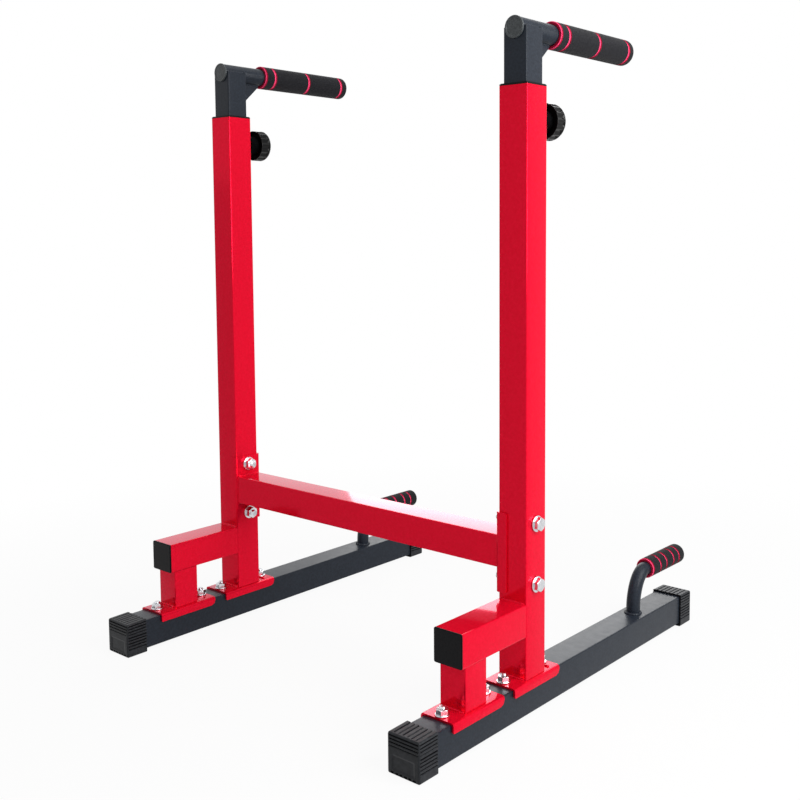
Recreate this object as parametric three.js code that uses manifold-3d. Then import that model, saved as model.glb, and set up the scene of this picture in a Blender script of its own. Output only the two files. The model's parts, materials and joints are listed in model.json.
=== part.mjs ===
// A dip station: two mirror-image steel stations joined by a crossbar, with telescoping padded handles on top,
// push-up bars at the rear of the bases and ribbed rubber feet. Millimetres, +Z up, +X to the right station,
// -Y to the front, where the braces are. The origin is at the bottom centre of the whole object.
import * as THREE from "three";
import { mergeVertices } from "three/addons/utils/BufferGeometryUtils.js";
import Module from "manifold-3d";

const wasm = await Module();
wasm.setup();

// Clearances
const seatGap = 0.3; // between a piece and what it is welded to, rests on or is pushed over
const slideGap = 0.3; // between the telescoping post, its glide and its collar
const threadGap = 0.3; // between a screw or bolt and its hole
const overrun = 5; // how far a cut runs past the face that it opens

// Facets
const tubeSides = 20;
const boltSides = 10;
const screwSides = 16;
const hexSides = 6;
const cornerSteps = 1; // each corner gets twice as many facets
const bendSteps = 6;
const domeSteps = 3;

// The square tube of the frame
const frameTube = 52;
const frameWall = 2;
const frameCorner = 2.5;
const leastCorner = 0.5; // inside corner where the wall is thicker than the outer corner's radius

// Layout of the whole object
const stationSpacing = 680; // between the centre planes of the two stations

// Base tube and its foot caps
const baseFront = 275; // from the upright's axis to the tube's front end
const baseRear = 510;
const capSole = 4.7;
const capWall = 2.7; // sides and roof
const capEnd = 3.7;
const capLength = 40;
const capCorner = 3.2;
const capBead = 3; // plain band at the mouth
const capBeadRise = 0.6;
const grooveWidth = 2.2;
const grooveDepth = 1.3;
const topGrooves = 6;
const topGroovePitch = 8;
const sideGrooves = 9;
const sideGroovePitch = 5.3;
const endGrooves = 4; // the side grooves that run on round the end face
const treadGrooves = 6;
const treadPitch = 8;
const treadWidth = 3.6;
const treadDepth = 1.6;
const panelWidth = 42;
const panelHeight = 24;
const panelCorner = 5;
const panelDepth = 0.7;
const panelFromSole = 6; // above the tread face

// Saddles: folded channels that straddle the base tube
const saddlePlate = 3.2;
const saddleSideGap = 1.3;
const saddleLength = 120;
const saddleDepth = 15; // from the plate's top to the flanges' lower edges
const saddleBend = 4.5; // outer radius of the fold
const saddleRearCorner = 9; // rounded lower corner of each flange at the rear
const saddleFrontCorner = 2;
const saddleBoltEdge = 11.5; // from the saddle's end to the bolt's axis

// Upright tube
const uprightLength = 902;

// Brace, front post and end plug
const frontPostWidth = 48;
const frontPostDepth = 50;
const frontPostLength = 67.4;
const frontPostBack = 146.5; // from the upright's axis forward to the post's centre
const braceLength = 153.8;
const plugHead = 2.5;
const plugWall = 2.5;
const plugReach = 18;
const plugChamfer = 1;

// Crossbar and its brackets
const crossbarHeight = 254; // centre line above the floor
const bracketPlate = 3;
const bracketHeight = 126;
const bracketReach = 20; // how far the bracket's flanges reach round the upright
const bracketBend = 4.5;
const bracketCorner = 4;
const crossBoltSpacing = 95;

// Base bolts: domed head under the base tube, washer and hexagon nut on the saddle
const baseBoltRadius = 5;
const baseHeadRadius = 10;
const baseHeadHeight = 3.6;
const baseWasherRadius = 11;
const baseWasherThickness = 2;
const baseNutFlats = 17;
const baseNutHeight = 8;
const baseBoltEnd = 3.5; // thread that stands above the nut

// Cross bolts: hexagon head and washer outside, washer and nut on the bracket
const crossBoltRadius = 6;
const crossWasherRadius = 12.5;
const crossWasherThickness = 2.5;
const crossHeadFlats = 19;
const crossHeadHeight = 7.5;
const crossNutHeight = 10;
const crossBoltEnd = 5;
const hexChamferShare = 0.14; // of the hexagon's corner radius
const threadChamfer = 1.2;

// Collar at the upright's mouth
const collarFlange = 3;
const collarDepth = 30;
const collarChamfer = 1;

// Telescoping handle post
const postTube = 42;
const postWall = 2;
const postCorner = 2;
const postExposed = 82; // above the collar at the lowest setting
const postLength = 350;
const glideHead = 6;
const glideReach = 22;
const glideWall = 3;

// Handle bar, its plug and its gusset
const barRadius = 16;
const barWall = 2;
const barAxisDrop = 1; // the bar's axis below the post's top edge
const barPlugHead = 3;
const barPlugReach = 15;
const barPlugDish = 0.8;
const barPlugRim = 2.5;
const gussetReach = 45; // along the bar
const gussetDrop = 41; // down the post
const gussetThickness = 4;
const gussetTip = 3;

// Foam grips on the handle bars
const gripRadius = 21.5;
const gripFront = 71; // from the post's axis to the foam's front end
const gripLength = 223;
const gripEndWall = 5;
const gripRound = 7;

// Lock: a nut welded to the upright's rear face, a screw with a plain nose and a fluted knob
const lockDrop = 48; // screw axis below the upright's top
const lockNutFlats = 24;
const lockNutLength = 15;
const lockScrewRadius = 8;
const lockNoseRadius = 5;
const lockNoseLength = 8.7;
const lockNoseChamfer = 1.5;
const lockHoleGap = 0.6;
const lockHolePitch = 50;
const lockHoles = 4;
const lockTravelIn = 8; // how far the nose goes in from where it just clears the post
const knobRadius = 28.5;
const knobFlutes = 12;
const knobFluteDepth = 3;
const knobThickness = 24;
const knobRound = 2.5;
const knobHubRadius = 14;
const knobHubLength = 2.5;
const knobScrewDepth = 16;
const knobDishRadius = 18;
const knobDishDepth = 1.5;
const fluteSteps = 5; // outline points for each flute
const knobBevelSteps = 1;

// Push-up bars and their grips
const pushUpRadius = 12.5;
const pushUpWall = 1.8;
const pushUpFoot = 346; // from the upright's axis to the bar's foot
const pushUpAxisRise = 71.5; // of the bar's straight run above the base tube
const pushUpBendRise = 65; // the bend tightens from the foot to the grip
const pushUpBendRun = 40;
const pushUpGripOffset = 2; // from the end of the bend to the foam
const pushUpGripRadius = 18;
const pushUpGripLength = 124;
const pushUpGripRound = 6;

// Places that follow from the sizes above
const saddleBoltSpacing = saddleLength - saddleBoltEdge * 2;
const baseBottom = capSole + seatGap;
const baseTop = baseBottom + frameTube;
const saddleTop = baseTop + seatGap + saddlePlate;
const uprightBottom = saddleTop + seatGap;
const uprightTop = uprightBottom + uprightLength;
const braceBottom = uprightBottom + frontPostLength + seatGap;
const braceCentre = braceBottom + frameTube / 2;
const braceRear = frameTube / 2 + seatGap;
const collarTop = uprightTop + seatGap + collarFlange;
const postTop = collarTop + postExposed;
const barAxis = postTop - barAxisDrop;
const lockAxis = uprightTop - lockDrop;
const pushUpAxis = baseTop + pushUpAxisRise;
const gripRear = gripFront + gripLength;
const pushUpBendEnd = pushUpFoot + pushUpBendRun;
const pushUpGripFront = pushUpBendEnd + pushUpGripOffset;
const pushUpGripRear = pushUpGripFront + pushUpGripLength;
const frontEnd = -(baseFront + seatGap + capEnd);
const rearEnd = Math.max(pushUpGripRear, baseRear + seatGap + capEnd);
const capWidth = frameTube + (seatGap + capWall) * 2;
const capHeight = capSole + frameTube + seatGap * 2 + capWall;

// Colours and finishes
function finish(color, roughness, metalness) {
  return new THREE.MeshStandardMaterial({ color, roughness, metalness });
}
const redPaint = finish(0xc4101f, 0.3, 0.1);
const greyPaint = finish(0x33383e, 0.5, 0.2);
const blackPlastic = finish(0x141416, 0.35, 0);
const blackRubber = finish(0x1b1c1e, 0.8, 0);
const zincSteel = finish(0xc9cdd2, 0.25, 1);
const gripFoam = finish(0x1d1e20, 0.95, 0);

// A closed geometry as a solid that can be joined and cut.
function solidOf(geometry) {
  const bare = geometry.index ? geometry.toNonIndexed() : geometry.clone();
  bare.deleteAttribute("normal");
  bare.deleteAttribute("uv");
  const merged = mergeVertices(bare);
  const vertProperties = merged.attributes.position.array;
  const triVerts = new Uint32Array(merged.index.array);
  return new wasm.Manifold(new wasm.Mesh({ numProp: 3, vertProperties, triVerts }));
}

// The way back, with flat shading.
function geometryOf(solid) {
  const mesh = solid.getMesh();
  const indexed = new THREE.BufferGeometry();
  indexed.setAttribute("position", new THREE.BufferAttribute(mesh.vertProperties, 3));
  indexed.setIndex(new THREE.BufferAttribute(mesh.triVerts, 1));
  const geometry = indexed.toNonIndexed();
  geometry.computeVertexNormals();
  return geometry;
}

// Draws a rounded rectangle centred on the origin into a shape or a hole.
function roundedRect(path, width, height, corner) {
  const x = width / 2 - corner;
  const y = height / 2 - corner;
  path.moveTo(x + corner, -y);
  path.absarc(x, y, corner, 0, Math.PI / 2);
  path.absarc(-x, y, corner, Math.PI / 2, Math.PI);
  path.absarc(-x, -y, corner, Math.PI, Math.PI * 1.5);
  path.absarc(x, -y, corner, Math.PI * 1.5, Math.PI * 2);
  return path;
}

// A shape pushed along +Z from the XY plane.
function extrude(shape, depth, curveSegments = cornerSteps) {
  return new THREE.ExtrudeGeometry(shape, { depth, bevelEnabled: false, curveSegments });
}

// Turns a form that was pushed along +Z so that it runs along Y or X and keeps its profile upright.
function alongY(geometry, rearY) {
  return geometry.rotateX(Math.PI / 2).translate(0, rearY, 0);
}
function alongX(geometry, leftX) {
  return geometry.rotateZ(Math.PI / 2).rotateY(Math.PI / 2).translate(leftX, 0, 0);
}

// A bar of rounded square section along +Z.
function squareBar(width, depth, corner, length) {
  return extrude(roundedRect(new THREE.Shape(), width, depth, corner), length);
}

// A square tube along +Z, open at both ends.
function squareTube(width, depth, wall, corner, length) {
  const shape = roundedRect(new THREE.Shape(), width, depth, corner);
  const inner = Math.max(corner - wall, leastCorner);
  shape.holes.push(roundedRect(new THREE.Path(), width - wall * 2, depth - wall * 2, inner));
  return extrude(shape, length);
}

function frameTubeOf(length) {
  return squareTube(frameTube, frameTube, frameWall, frameCorner, length);
}

// A round bar along +Z, standing on the XY plane.
function roundBar(radius, length, sides = tubeSides) {
  const geometry = new THREE.CylinderGeometry(radius, radius, length, sides);
  return geometry.rotateX(Math.PI / 2).translate(0, 0, length / 2);
}

// A solid of revolution about +Z from [radius, height] pairs that start and end on the axis.
function revolve(profile, sides = tubeSides) {
  const points = profile.map(([radius, height]) => new THREE.Vector2(radius, height));
  return new THREE.LatheGeometry(points, sides).rotateX(Math.PI / 2);
}

// A rounded edge as [radius, height] pairs, from straight up the side to flat on the end.
function roundedEdge(outerRadius, endHeight, round) {
  const pairs = [];
  for (let i = 0; i <= domeSteps; i += 1) {
    const angle = (i / domeSteps) * (Math.PI / 2);
    const radius = outerRadius - round * (1 - Math.cos(angle));
    pairs.push([radius, endHeight - round * (1 - Math.sin(angle))]);
  }
  return pairs;
}

// A hexagon nut or head on a washer, along +Z, its corners cut by a cone at the outer end.
function hexBlock(flats, nutHeight, washerBottom, washerThickness) {
  const sunk = washerThickness / 2;
  const height = nutHeight + sunk;
  const corner = flats / Math.sqrt(3);
  const chamfer = corner * hexChamferShare;
  const rise = chamfer / 2;
  const cone = revolve(
    [
      [0, -rise],
      [corner + chamfer, -rise],
      [corner + chamfer, height - rise * 2],
      [corner - chamfer * 2, height + rise],
      [0, height + rise],
    ],
    boltSides,
  );
  const block = solidOf(roundBar(corner, height, hexSides)).intersect(solidOf(cone));
  return block.translate(0, 0, washerBottom + sunk);
}

// A straight slot of triangular section along +Z, open side up, its mouth on the XZ plane.
function grooveBar(width, depth, length) {
  const shape = new THREE.Shape();
  shape.moveTo(0, -depth);
  shape.lineTo(width, depth);
  shape.lineTo(-width, depth);
  shape.closePath();
  return extrude(shape, length);
}

// The ribbed rubber foot cap. Its end face looks to -Y, and y is 0 at the end of the tube that it holds.
function footCap() {
  const outside = squareBar(capWidth, capHeight, capCorner, capLength);
  const endFace = -(seatGap + capEnd);
  const mouth = endFace + capLength;
  const middle = capHeight / 2;
  let cap = solidOf(alongY(outside, mouth).translate(0, 0, middle));

  const ribbed = capLength - capBead + overrun;
  const ribbedRear = mouth - capBead;
  const cuts = [];
  for (let i = 0; i < topGrooves; i += 1) {
    const x = (i - (topGrooves - 1) / 2) * topGroovePitch;
    cuts.push(alongY(grooveBar(grooveWidth / 2, grooveDepth, ribbed), ribbedRear).translate(x, 0, capHeight));
  }
  for (let i = 0; i < sideGrooves; i += 1) {
    const z = capHeight - (i + 1) * sideGroovePitch;
    for (const side of [-1, 1]) {
      const groove = grooveBar(grooveWidth / 2, grooveDepth, ribbed).rotateZ((-side * Math.PI) / 2);
      cuts.push(alongY(groove, ribbedRear).translate((side * capWidth) / 2, 0, z));
    }
  }
  for (let i = 0; i < endGrooves; i += 1) {
    const z = capHeight - (i + 1) * sideGroovePitch;
    const groove = grooveBar(grooveWidth / 2, grooveDepth, capWidth + overrun * 2);
    const across = alongX(groove.rotateZ(Math.PI), -capWidth / 2 - overrun);
    cuts.push(across.rotateX(-Math.PI / 2).translate(0, endFace, z));
  }
  for (let i = 0; i < treadGrooves; i += 1) {
    const x = (i - (treadGrooves - 1) / 2) * treadPitch;
    const tread = new THREE.BoxGeometry(treadWidth, ribbed, treadDepth * 2);
    cuts.push(tread.translate(x, ribbedRear - ribbed / 2, 0));
  }
  for (const cut of cuts) {
    cap = cap.subtract(solidOf(cut));
  }
  const panel = squareBar(panelWidth, panelHeight, panelCorner, overrun + panelDepth);
  const panelMiddle = panelFromSole + panelHeight / 2;
  cap = cap.subtract(solidOf(alongY(panel, endFace + panelDepth).translate(0, 0, panelMiddle)));

  const band = squareBar(capWidth + capBeadRise * 2, capHeight - capSole, capCorner, capBead);
  const bandMiddle = middle + capSole / 2 + capBeadRise;
  cap = cap.add(solidOf(alongY(band, mouth).translate(0, 0, bandMiddle)));
  const socketSize = frameTube + seatGap * 2;
  const socket = squareBar(socketSize, socketSize, frameCorner + seatGap, capLength + overrun);
  const socketRear = capLength + overrun - seatGap;
  return cap.subtract(solidOf(alongY(socket, socketRear).translate(0, 0, baseBottom + frameTube / 2)));
}

// A folded channel, plate up, along Y and centred on its length, with bolt holes in the plate.
function saddle() {
  const outer = frameTube + (saddleSideGap + saddlePlate) * 2;
  const inner = outer - saddlePlate * 2;
  const bend = saddleBend;
  const innerBend = Math.max(bend - saddlePlate, leastCorner);
  const fold = new THREE.Shape();
  fold.moveTo(inner / 2, -saddleDepth);
  fold.lineTo(outer / 2, -saddleDepth); // a path that opens with an arc would lose its first corner
  fold.absarc(outer / 2 - bend, -bend, bend, 0, Math.PI / 2);
  fold.absarc(bend - outer / 2, -bend, bend, Math.PI / 2, Math.PI);
  fold.lineTo(-outer / 2, -saddleDepth);
  fold.lineTo(-inner / 2, -saddleDepth);
  fold.absarc(innerBend - inner / 2, -saddlePlate - innerBend, innerBend, Math.PI, Math.PI / 2, true);
  fold.absarc(inner / 2 - innerBend, -saddlePlate - innerBend, innerBend, Math.PI / 2, 0, true);
  fold.closePath();
  let made = solidOf(alongY(extrude(fold, saddleLength), saddleLength / 2));

  const half = saddleLength / 2;
  const side = new THREE.Shape();
  side.moveTo(-half, overrun);
  side.lineTo(-half, saddleFrontCorner - saddleDepth);
  side.absarc(
    saddleFrontCorner - half,
    saddleFrontCorner - saddleDepth,
    saddleFrontCorner,
    Math.PI,
    Math.PI * 1.5,
  );
  side.absarc(
    half - saddleRearCorner,
    saddleRearCorner - saddleDepth,
    saddleRearCorner,
    Math.PI * 1.5,
    Math.PI * 2,
  );
  side.lineTo(half, overrun);
  side.closePath();
  const span = outer + overrun * 2;
  made = made.intersect(solidOf(alongX(extrude(side, span), -span / 2)));
  for (const end of [-1, 1]) {
    const hole = roundBar(baseBoltRadius + threadGap, saddlePlate + overrun * 2, boltSides);
    hole.translate(0, (end * saddleBoltSpacing) / 2, -saddlePlate - overrun);
    made = made.subtract(solidOf(hole));
  }
  return made;
}

// The base tube with its bolt holes.
function baseTube(boltPlaces) {
  let tube = solidOf(alongY(frameTubeOf(baseFront + baseRear), baseRear));
  for (const y of boltPlaces) {
    const hole = roundBar(baseBoltRadius + threadGap, frameTube + overrun * 2, boltSides);
    tube = tube.subtract(solidOf(hole.translate(0, y, -frameTube / 2 - overrun)));
  }
  return tube;
}

// A bolt through a saddle and the base tube, with z 0 at the saddle's top face.
function baseBolt() {
  const under = -saddlePlate - seatGap - frameTube - seatGap;
  const headEdge = roundedEdge(baseHeadRadius, baseHeadHeight, baseHeadHeight).reverse();
  const washerBottom = seatGap;
  const washerTop = washerBottom + baseWasherThickness;
  const nutTop = washerTop + baseNutHeight;
  const end = nutTop + baseBoltEnd;
  const profile = [
    [0, under - baseHeadHeight],
    ...headEdge.map(([radius, height]) => [radius, under - height]),
    [baseBoltRadius, under],
    [baseBoltRadius, washerBottom],
    [baseWasherRadius, washerBottom],
    [baseWasherRadius, washerTop],
    [baseBoltRadius, washerTop],
    [baseBoltRadius, end - threadChamfer],
    [baseBoltRadius - threadChamfer, end],
    [0, end],
  ];
  const nut = hexBlock(baseNutFlats, baseNutHeight, washerBottom, baseWasherThickness);
  return solidOf(revolve(profile, boltSides)).add(nut);
}

// The upright with its cross bolt holes and the lock nut welded to its rear face.
function uprightTube() {
  let tube = solidOf(frameTubeOf(uprightLength).translate(0, 0, uprightBottom));
  for (const end of [-1, 1]) {
    const hole = roundBar(crossBoltRadius + threadGap, frameTube + overrun * 2, boltSides);
    const z = crossbarHeight + (end * crossBoltSpacing) / 2;
    tube = tube.subtract(solidOf(alongX(hole, -frameTube / 2 - overrun).translate(0, 0, z)));
  }
  const nutRear = frameTube / 2 + lockNutLength;
  const nut = roundBar(lockNutFlats / Math.sqrt(3), lockNutLength + frameWall / 2, hexSides);
  tube = tube.add(solidOf(alongY(nut, nutRear).translate(0, 0, lockAxis)));
  const bore = roundBar(lockScrewRadius + threadGap, lockNutLength + frameWall + overrun * 2, screwSides);
  return tube.subtract(solidOf(alongY(bore, nutRear + overrun).translate(0, 0, lockAxis)));
}

// A square end plug along +Z: a flat head above z 0, and a hollow body below it.
function squarePlug(size, corner, bore) {
  const head = squareBar(size, size, corner, plugHead - plugChamfer);
  const rim = size - plugChamfer * 2;
  const crown = squareBar(rim, rim, Math.max(corner - plugChamfer, leastCorner), plugHead);
  const body = squareTube(bore, bore, plugWall, leastCorner, plugReach + plugHead / 2);
  body.translate(0, 0, -plugReach);
  return solidOf(head).add(solidOf(crown)).add(solidOf(body));
}

// The bracket that wraps the upright's inner side, web along Y, centred on the crossbar. The upright is at +X.
function crossbarBracket() {
  const inner = frameTube + seatGap * 2;
  const outer = inner + bracketPlate * 2;
  const innerBend = Math.max(bracketBend - bracketPlate, leastCorner);
  const fold = new THREE.Shape();
  fold.moveTo(bracketReach, inner / 2);
  fold.lineTo(bracketReach, outer / 2);
  fold.absarc(bracketBend, outer / 2 - bracketBend, bracketBend, Math.PI / 2, Math.PI);
  fold.absarc(bracketBend, bracketBend - outer / 2, bracketBend, Math.PI, Math.PI * 1.5);
  fold.lineTo(bracketReach, -outer / 2);
  fold.lineTo(bracketReach, -inner / 2);
  const innerX = bracketPlate + innerBend;
  fold.absarc(innerX, innerBend - inner / 2, innerBend, Math.PI * 1.5, Math.PI, true);
  fold.absarc(innerX, inner / 2 - innerBend, innerBend, Math.PI, Math.PI / 2, true);
  fold.closePath();
  let made = solidOf(extrude(fold, bracketHeight).translate(0, 0, -bracketHeight / 2));

  const flankWidth = bracketReach * 2;
  const flank = squareBar(flankWidth, bracketHeight, bracketCorner, outer + overrun * 2);
  made = made.intersect(solidOf(alongY(flank, outer / 2 + overrun)));
  for (const end of [-1, 1]) {
    const hole = roundBar(crossBoltRadius + threadGap, bracketPlate + overrun * 2, boltSides);
    made = made.subtract(solidOf(alongX(hole, -overrun).translate(0, 0, (end * crossBoltSpacing) / 2)));
  }
  return made;
}

// A cross bolt along +Z: z 0 is the seat of its washer, the head is above and the shank below.
function crossBolt() {
  const grip = seatGap + frameTube + seatGap + bracketPlate + seatGap;
  const reach = grip + crossWasherThickness + crossNutHeight + crossBoltEnd;
  const profile = [
    [0, -reach],
    [crossBoltRadius - threadChamfer, -reach],
    [crossBoltRadius, threadChamfer - reach],
    [crossBoltRadius, 0],
    [crossWasherRadius, 0],
    [crossWasherRadius, crossWasherThickness],
    [0, crossWasherThickness],
  ];
  const head = hexBlock(crossHeadFlats, crossHeadHeight, 0, crossWasherThickness);
  return solidOf(revolve(profile, boltSides)).add(head);
}

// A nut and its washer along +Z, standing on z 0.
function crossNut() {
  const washer = solidOf(roundBar(crossWasherRadius, crossWasherThickness, boltSides));
  const nut = hexBlock(crossHeadFlats, crossNutHeight, 0, crossWasherThickness);
  const length = crossWasherThickness + crossNutHeight + overrun * 2;
  const bore = roundBar(crossBoltRadius + threadGap, length, boltSides).translate(0, 0, -overrun);
  return washer.add(nut).subtract(solidOf(bore));
}

// The collar: a flange on the upright's mouth and a sleeve down inside it, with z 0 under the flange.
function uprightCollar() {
  const bore = postTube + slideGap * 2;
  const lower = squareBar(frameTube, frameTube, frameCorner, collarFlange - collarChamfer);
  const rim = frameTube - collarChamfer * 2;
  const crown = squareBar(rim, rim, frameCorner, collarFlange);
  const sleeveSize = frameTube - frameWall * 2 - seatGap * 2;
  const sleeve = squareBar(sleeveSize, sleeveSize, leastCorner * 2, collarDepth + collarFlange / 2);
  sleeve.translate(0, 0, -collarDepth);
  const hole = squareBar(bore, bore, postCorner, collarDepth + collarFlange + overrun * 2);
  hole.translate(0, 0, -collarDepth - overrun);
  return solidOf(lower).add(solidOf(crown)).add(solidOf(sleeve)).subtract(solidOf(hole));
}

// The telescoping post, notched at the top for the bar and drilled at the rear for the lock.
function handlePost() {
  const tube = squareTube(postTube, postTube, postWall, postCorner, postLength);
  let post = solidOf(tube.translate(0, 0, postTop - postLength));
  const notchRadius = barRadius + seatGap;
  const across = postTube + overrun * 2;
  const round = alongY(roundBar(notchRadius, across), across / 2).translate(0, 0, barAxis);
  const mouthHeight = barAxisDrop + overrun;
  const mouth = new THREE.BoxGeometry(notchRadius * 2, across, mouthHeight);
  mouth.translate(0, 0, barAxis + mouthHeight / 2);
  post = post.subtract(solidOf(round)).subtract(solidOf(mouth));
  for (let i = 0; i < lockHoles; i += 1) {
    const hole = roundBar(lockNoseRadius + lockHoleGap, postTube / 2 + overrun, boltSides);
    alongY(hole, postTube / 2 + overrun).translate(0, 0, lockAxis - i * lockHolePitch);
    post = post.subtract(solidOf(hole));
  }
  return post;
}

// The glide under the post: a head that fits the upright's bore, and a body inside the post.
function postGlide() {
  const headSize = frameTube - frameWall * 2 - slideGap * 2;
  const head = squareBar(headSize, headSize, frameCorner - leastCorner, glideHead);
  head.translate(0, 0, -seatGap - glideHead);
  const bodySize = postTube - postWall * 2 - seatGap * 2;
  const body = squareTube(bodySize, bodySize, glideWall, leastCorner, glideReach + seatGap + glideHead / 2);
  body.translate(0, 0, -seatGap - glideHead / 2);
  return solidOf(head).add(solidOf(body));
}

// The handle bar: a round tube along Y with its axis at z 0, from the post's front face to inside the grip.
function handleBar() {
  const front = -postTube / 2;
  const rear = gripRear - gripEndWall - seatGap;
  const outside = alongY(roundBar(barRadius, rear - front), rear);
  const inside = alongY(roundBar(barRadius - barWall, rear - front + overrun * 2), rear + overrun);
  return solidOf(outside).subtract(solidOf(inside));
}

// A round plug along +Z: a dished head above z 0, and its body below it.
function barPlug() {
  const bodyRadius = barRadius - barWall - seatGap;
  const top = seatGap + barPlugHead;
  const dishRadius = barRadius - barPlugRim;
  return revolve([
    [0, -barPlugReach],
    [bodyRadius, -barPlugReach],
    [bodyRadius, seatGap],
    [barRadius, seatGap],
    [barRadius, top - barPlugDish],
    [barRadius - barPlugDish, top],
    [dishRadius, top],
    [dishRadius - barPlugDish, top - barPlugDish],
    [0, top - barPlugDish],
  ]);
}

// The gusset: a triangular plate in the YZ plane, its right angle between post and bar.
function handleGusset() {
  const corner = new THREE.Vector2(postTube / 2 + seatGap, -barRadius - seatGap);
  const shape = new THREE.Shape();
  shape.moveTo(corner.x, corner.y);
  shape.lineTo(corner.x, corner.y - gussetDrop);
  shape.lineTo(corner.x + gussetTip, corner.y - gussetDrop);
  shape.lineTo(corner.x + gussetReach, corner.y - gussetTip);
  shape.lineTo(corner.x + gussetReach, corner.y);
  shape.closePath();
  return alongX(extrude(shape, gussetThickness), -gussetThickness / 2);
}

// A closed-end foam sleeve along +Z, open at z 0 and rounded at its far end.
function foamGrip(radius, bore, length, round) {
  return revolve([
    [0, length - gripEndWall],
    [bore, length - gripEndWall],
    [bore, 0],
    [radius, 0],
    ...roundedEdge(radius, length, round),
    [0, length],
  ]);
}

// The lock screw along +Z: its nose starts at z 0, and its other end is inside the knob.
function lockScrew(length) {
  return revolve(
    [
      [0, 0],
      [lockNoseRadius - lockNoseChamfer, 0],
      [lockNoseRadius, lockNoseChamfer],
      [lockNoseRadius, lockNoseLength],
      [lockScrewRadius, lockNoseLength],
      [lockScrewRadius, length],
      [0, length],
    ],
    screwSides,
  );
}

// The knob along +Z: its hub starts at z 0, then the fluted grip with rounded edges and a dished outer face.
function lockKnob() {
  const outline = new THREE.Shape();
  const points = knobFlutes * fluteSteps;
  const reach = knobRadius - knobRound;
  for (let i = 0; i < points; i += 1) {
    const angle = (i / points) * Math.PI * 2;
    const valley = (1 - Math.cos(angle * knobFlutes)) / 2;
    const radius = reach - knobFluteDepth * valley * valley;
    const x = radius * Math.cos(angle);
    const y = radius * Math.sin(angle);
    if (i === 0) outline.moveTo(x, y);
    else outline.lineTo(x, y);
  }
  outline.closePath();
  const grip = new THREE.ExtrudeGeometry(outline, {
    depth: knobThickness - knobRound * 2,
    bevelThickness: knobRound,
    bevelSize: knobRound,
    bevelSegments: knobBevelSteps,
  });
  grip.translate(0, 0, knobHubLength + knobRound);
  const hub = roundBar(knobHubRadius, knobHubLength + knobThickness / 2);
  const top = knobHubLength + knobThickness;
  const dish = revolve([
    [0, top - knobDishDepth],
    [knobDishRadius - knobDishDepth, top - knobDishDepth],
    [knobDishRadius + overrun, top + overrun],
    [0, top + overrun],
  ]);
  const bore = roundBar(lockScrewRadius + seatGap, knobScrewDepth + seatGap + overrun, screwSides);
  const made = solidOf(grip).add(solidOf(hub)).subtract(solidOf(dish));
  return made.subtract(solidOf(bore.translate(0, 0, -overrun)));
}

// The centre line of a push-up bar: one step up, a quarter bend towards +Y, and one step straight on.
class BentBarPath extends THREE.Curve {
  constructor(rise, run) {
    super();
    this.rise = rise;
    this.run = run;
  }

  getUtoTmapping(u) {
    return u;
  }

  getPoint(t, target = new THREE.Vector3()) {
    const step = t * (bendSteps + 2);
    const up = Math.min(step, 1) * this.rise;
    const turned = Math.min(Math.max(step - 1, 0) / bendSteps, 1) * (Math.PI / 2);
    const on = Math.max(step - 1 - bendSteps, 0) * this.run;
    const y = pushUpBendRun * (1 - Math.cos(turned)) + on;
    return target.set(0, y, up + pushUpBendRise * Math.sin(turned));
  }
}

// A round bar along the bent path, standing on z 0.
function bentBar(radius, rise, run, sides) {
  const section = new THREE.Shape();
  section.absarc(0, 0, radius, 0, Math.PI * 2);
  return new THREE.ExtrudeGeometry(section, {
    steps: bendSteps + 2,
    curveSegments: sides / 2,
    extrudePath: new BentBarPath(rise, run),
  });
}

function pushUpBar() {
  const rise = pushUpAxisRise - pushUpBendRise - seatGap;
  const run = pushUpGripOffset + pushUpGripLength - gripEndWall - seatGap;
  const outside = bentBar(pushUpRadius, rise, run, tubeSides);
  const inside = bentBar(pushUpRadius - pushUpWall, rise + overrun, run + overrun, boltSides);
  return solidOf(outside).subtract(solidOf(inside.translate(0, 0, -overrun)));
}

// Adds one named piece to a group, at a place in it.
function addPiece(group, name, form, material, x, y, z) {
  const geometry = form.isBufferGeometry ? form : geometryOf(form);
  const mesh = new THREE.Mesh(geometry, material);
  mesh.name = name;
  mesh.position.set(x, y, z);
  group.add(mesh);
  return mesh;
}

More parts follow.
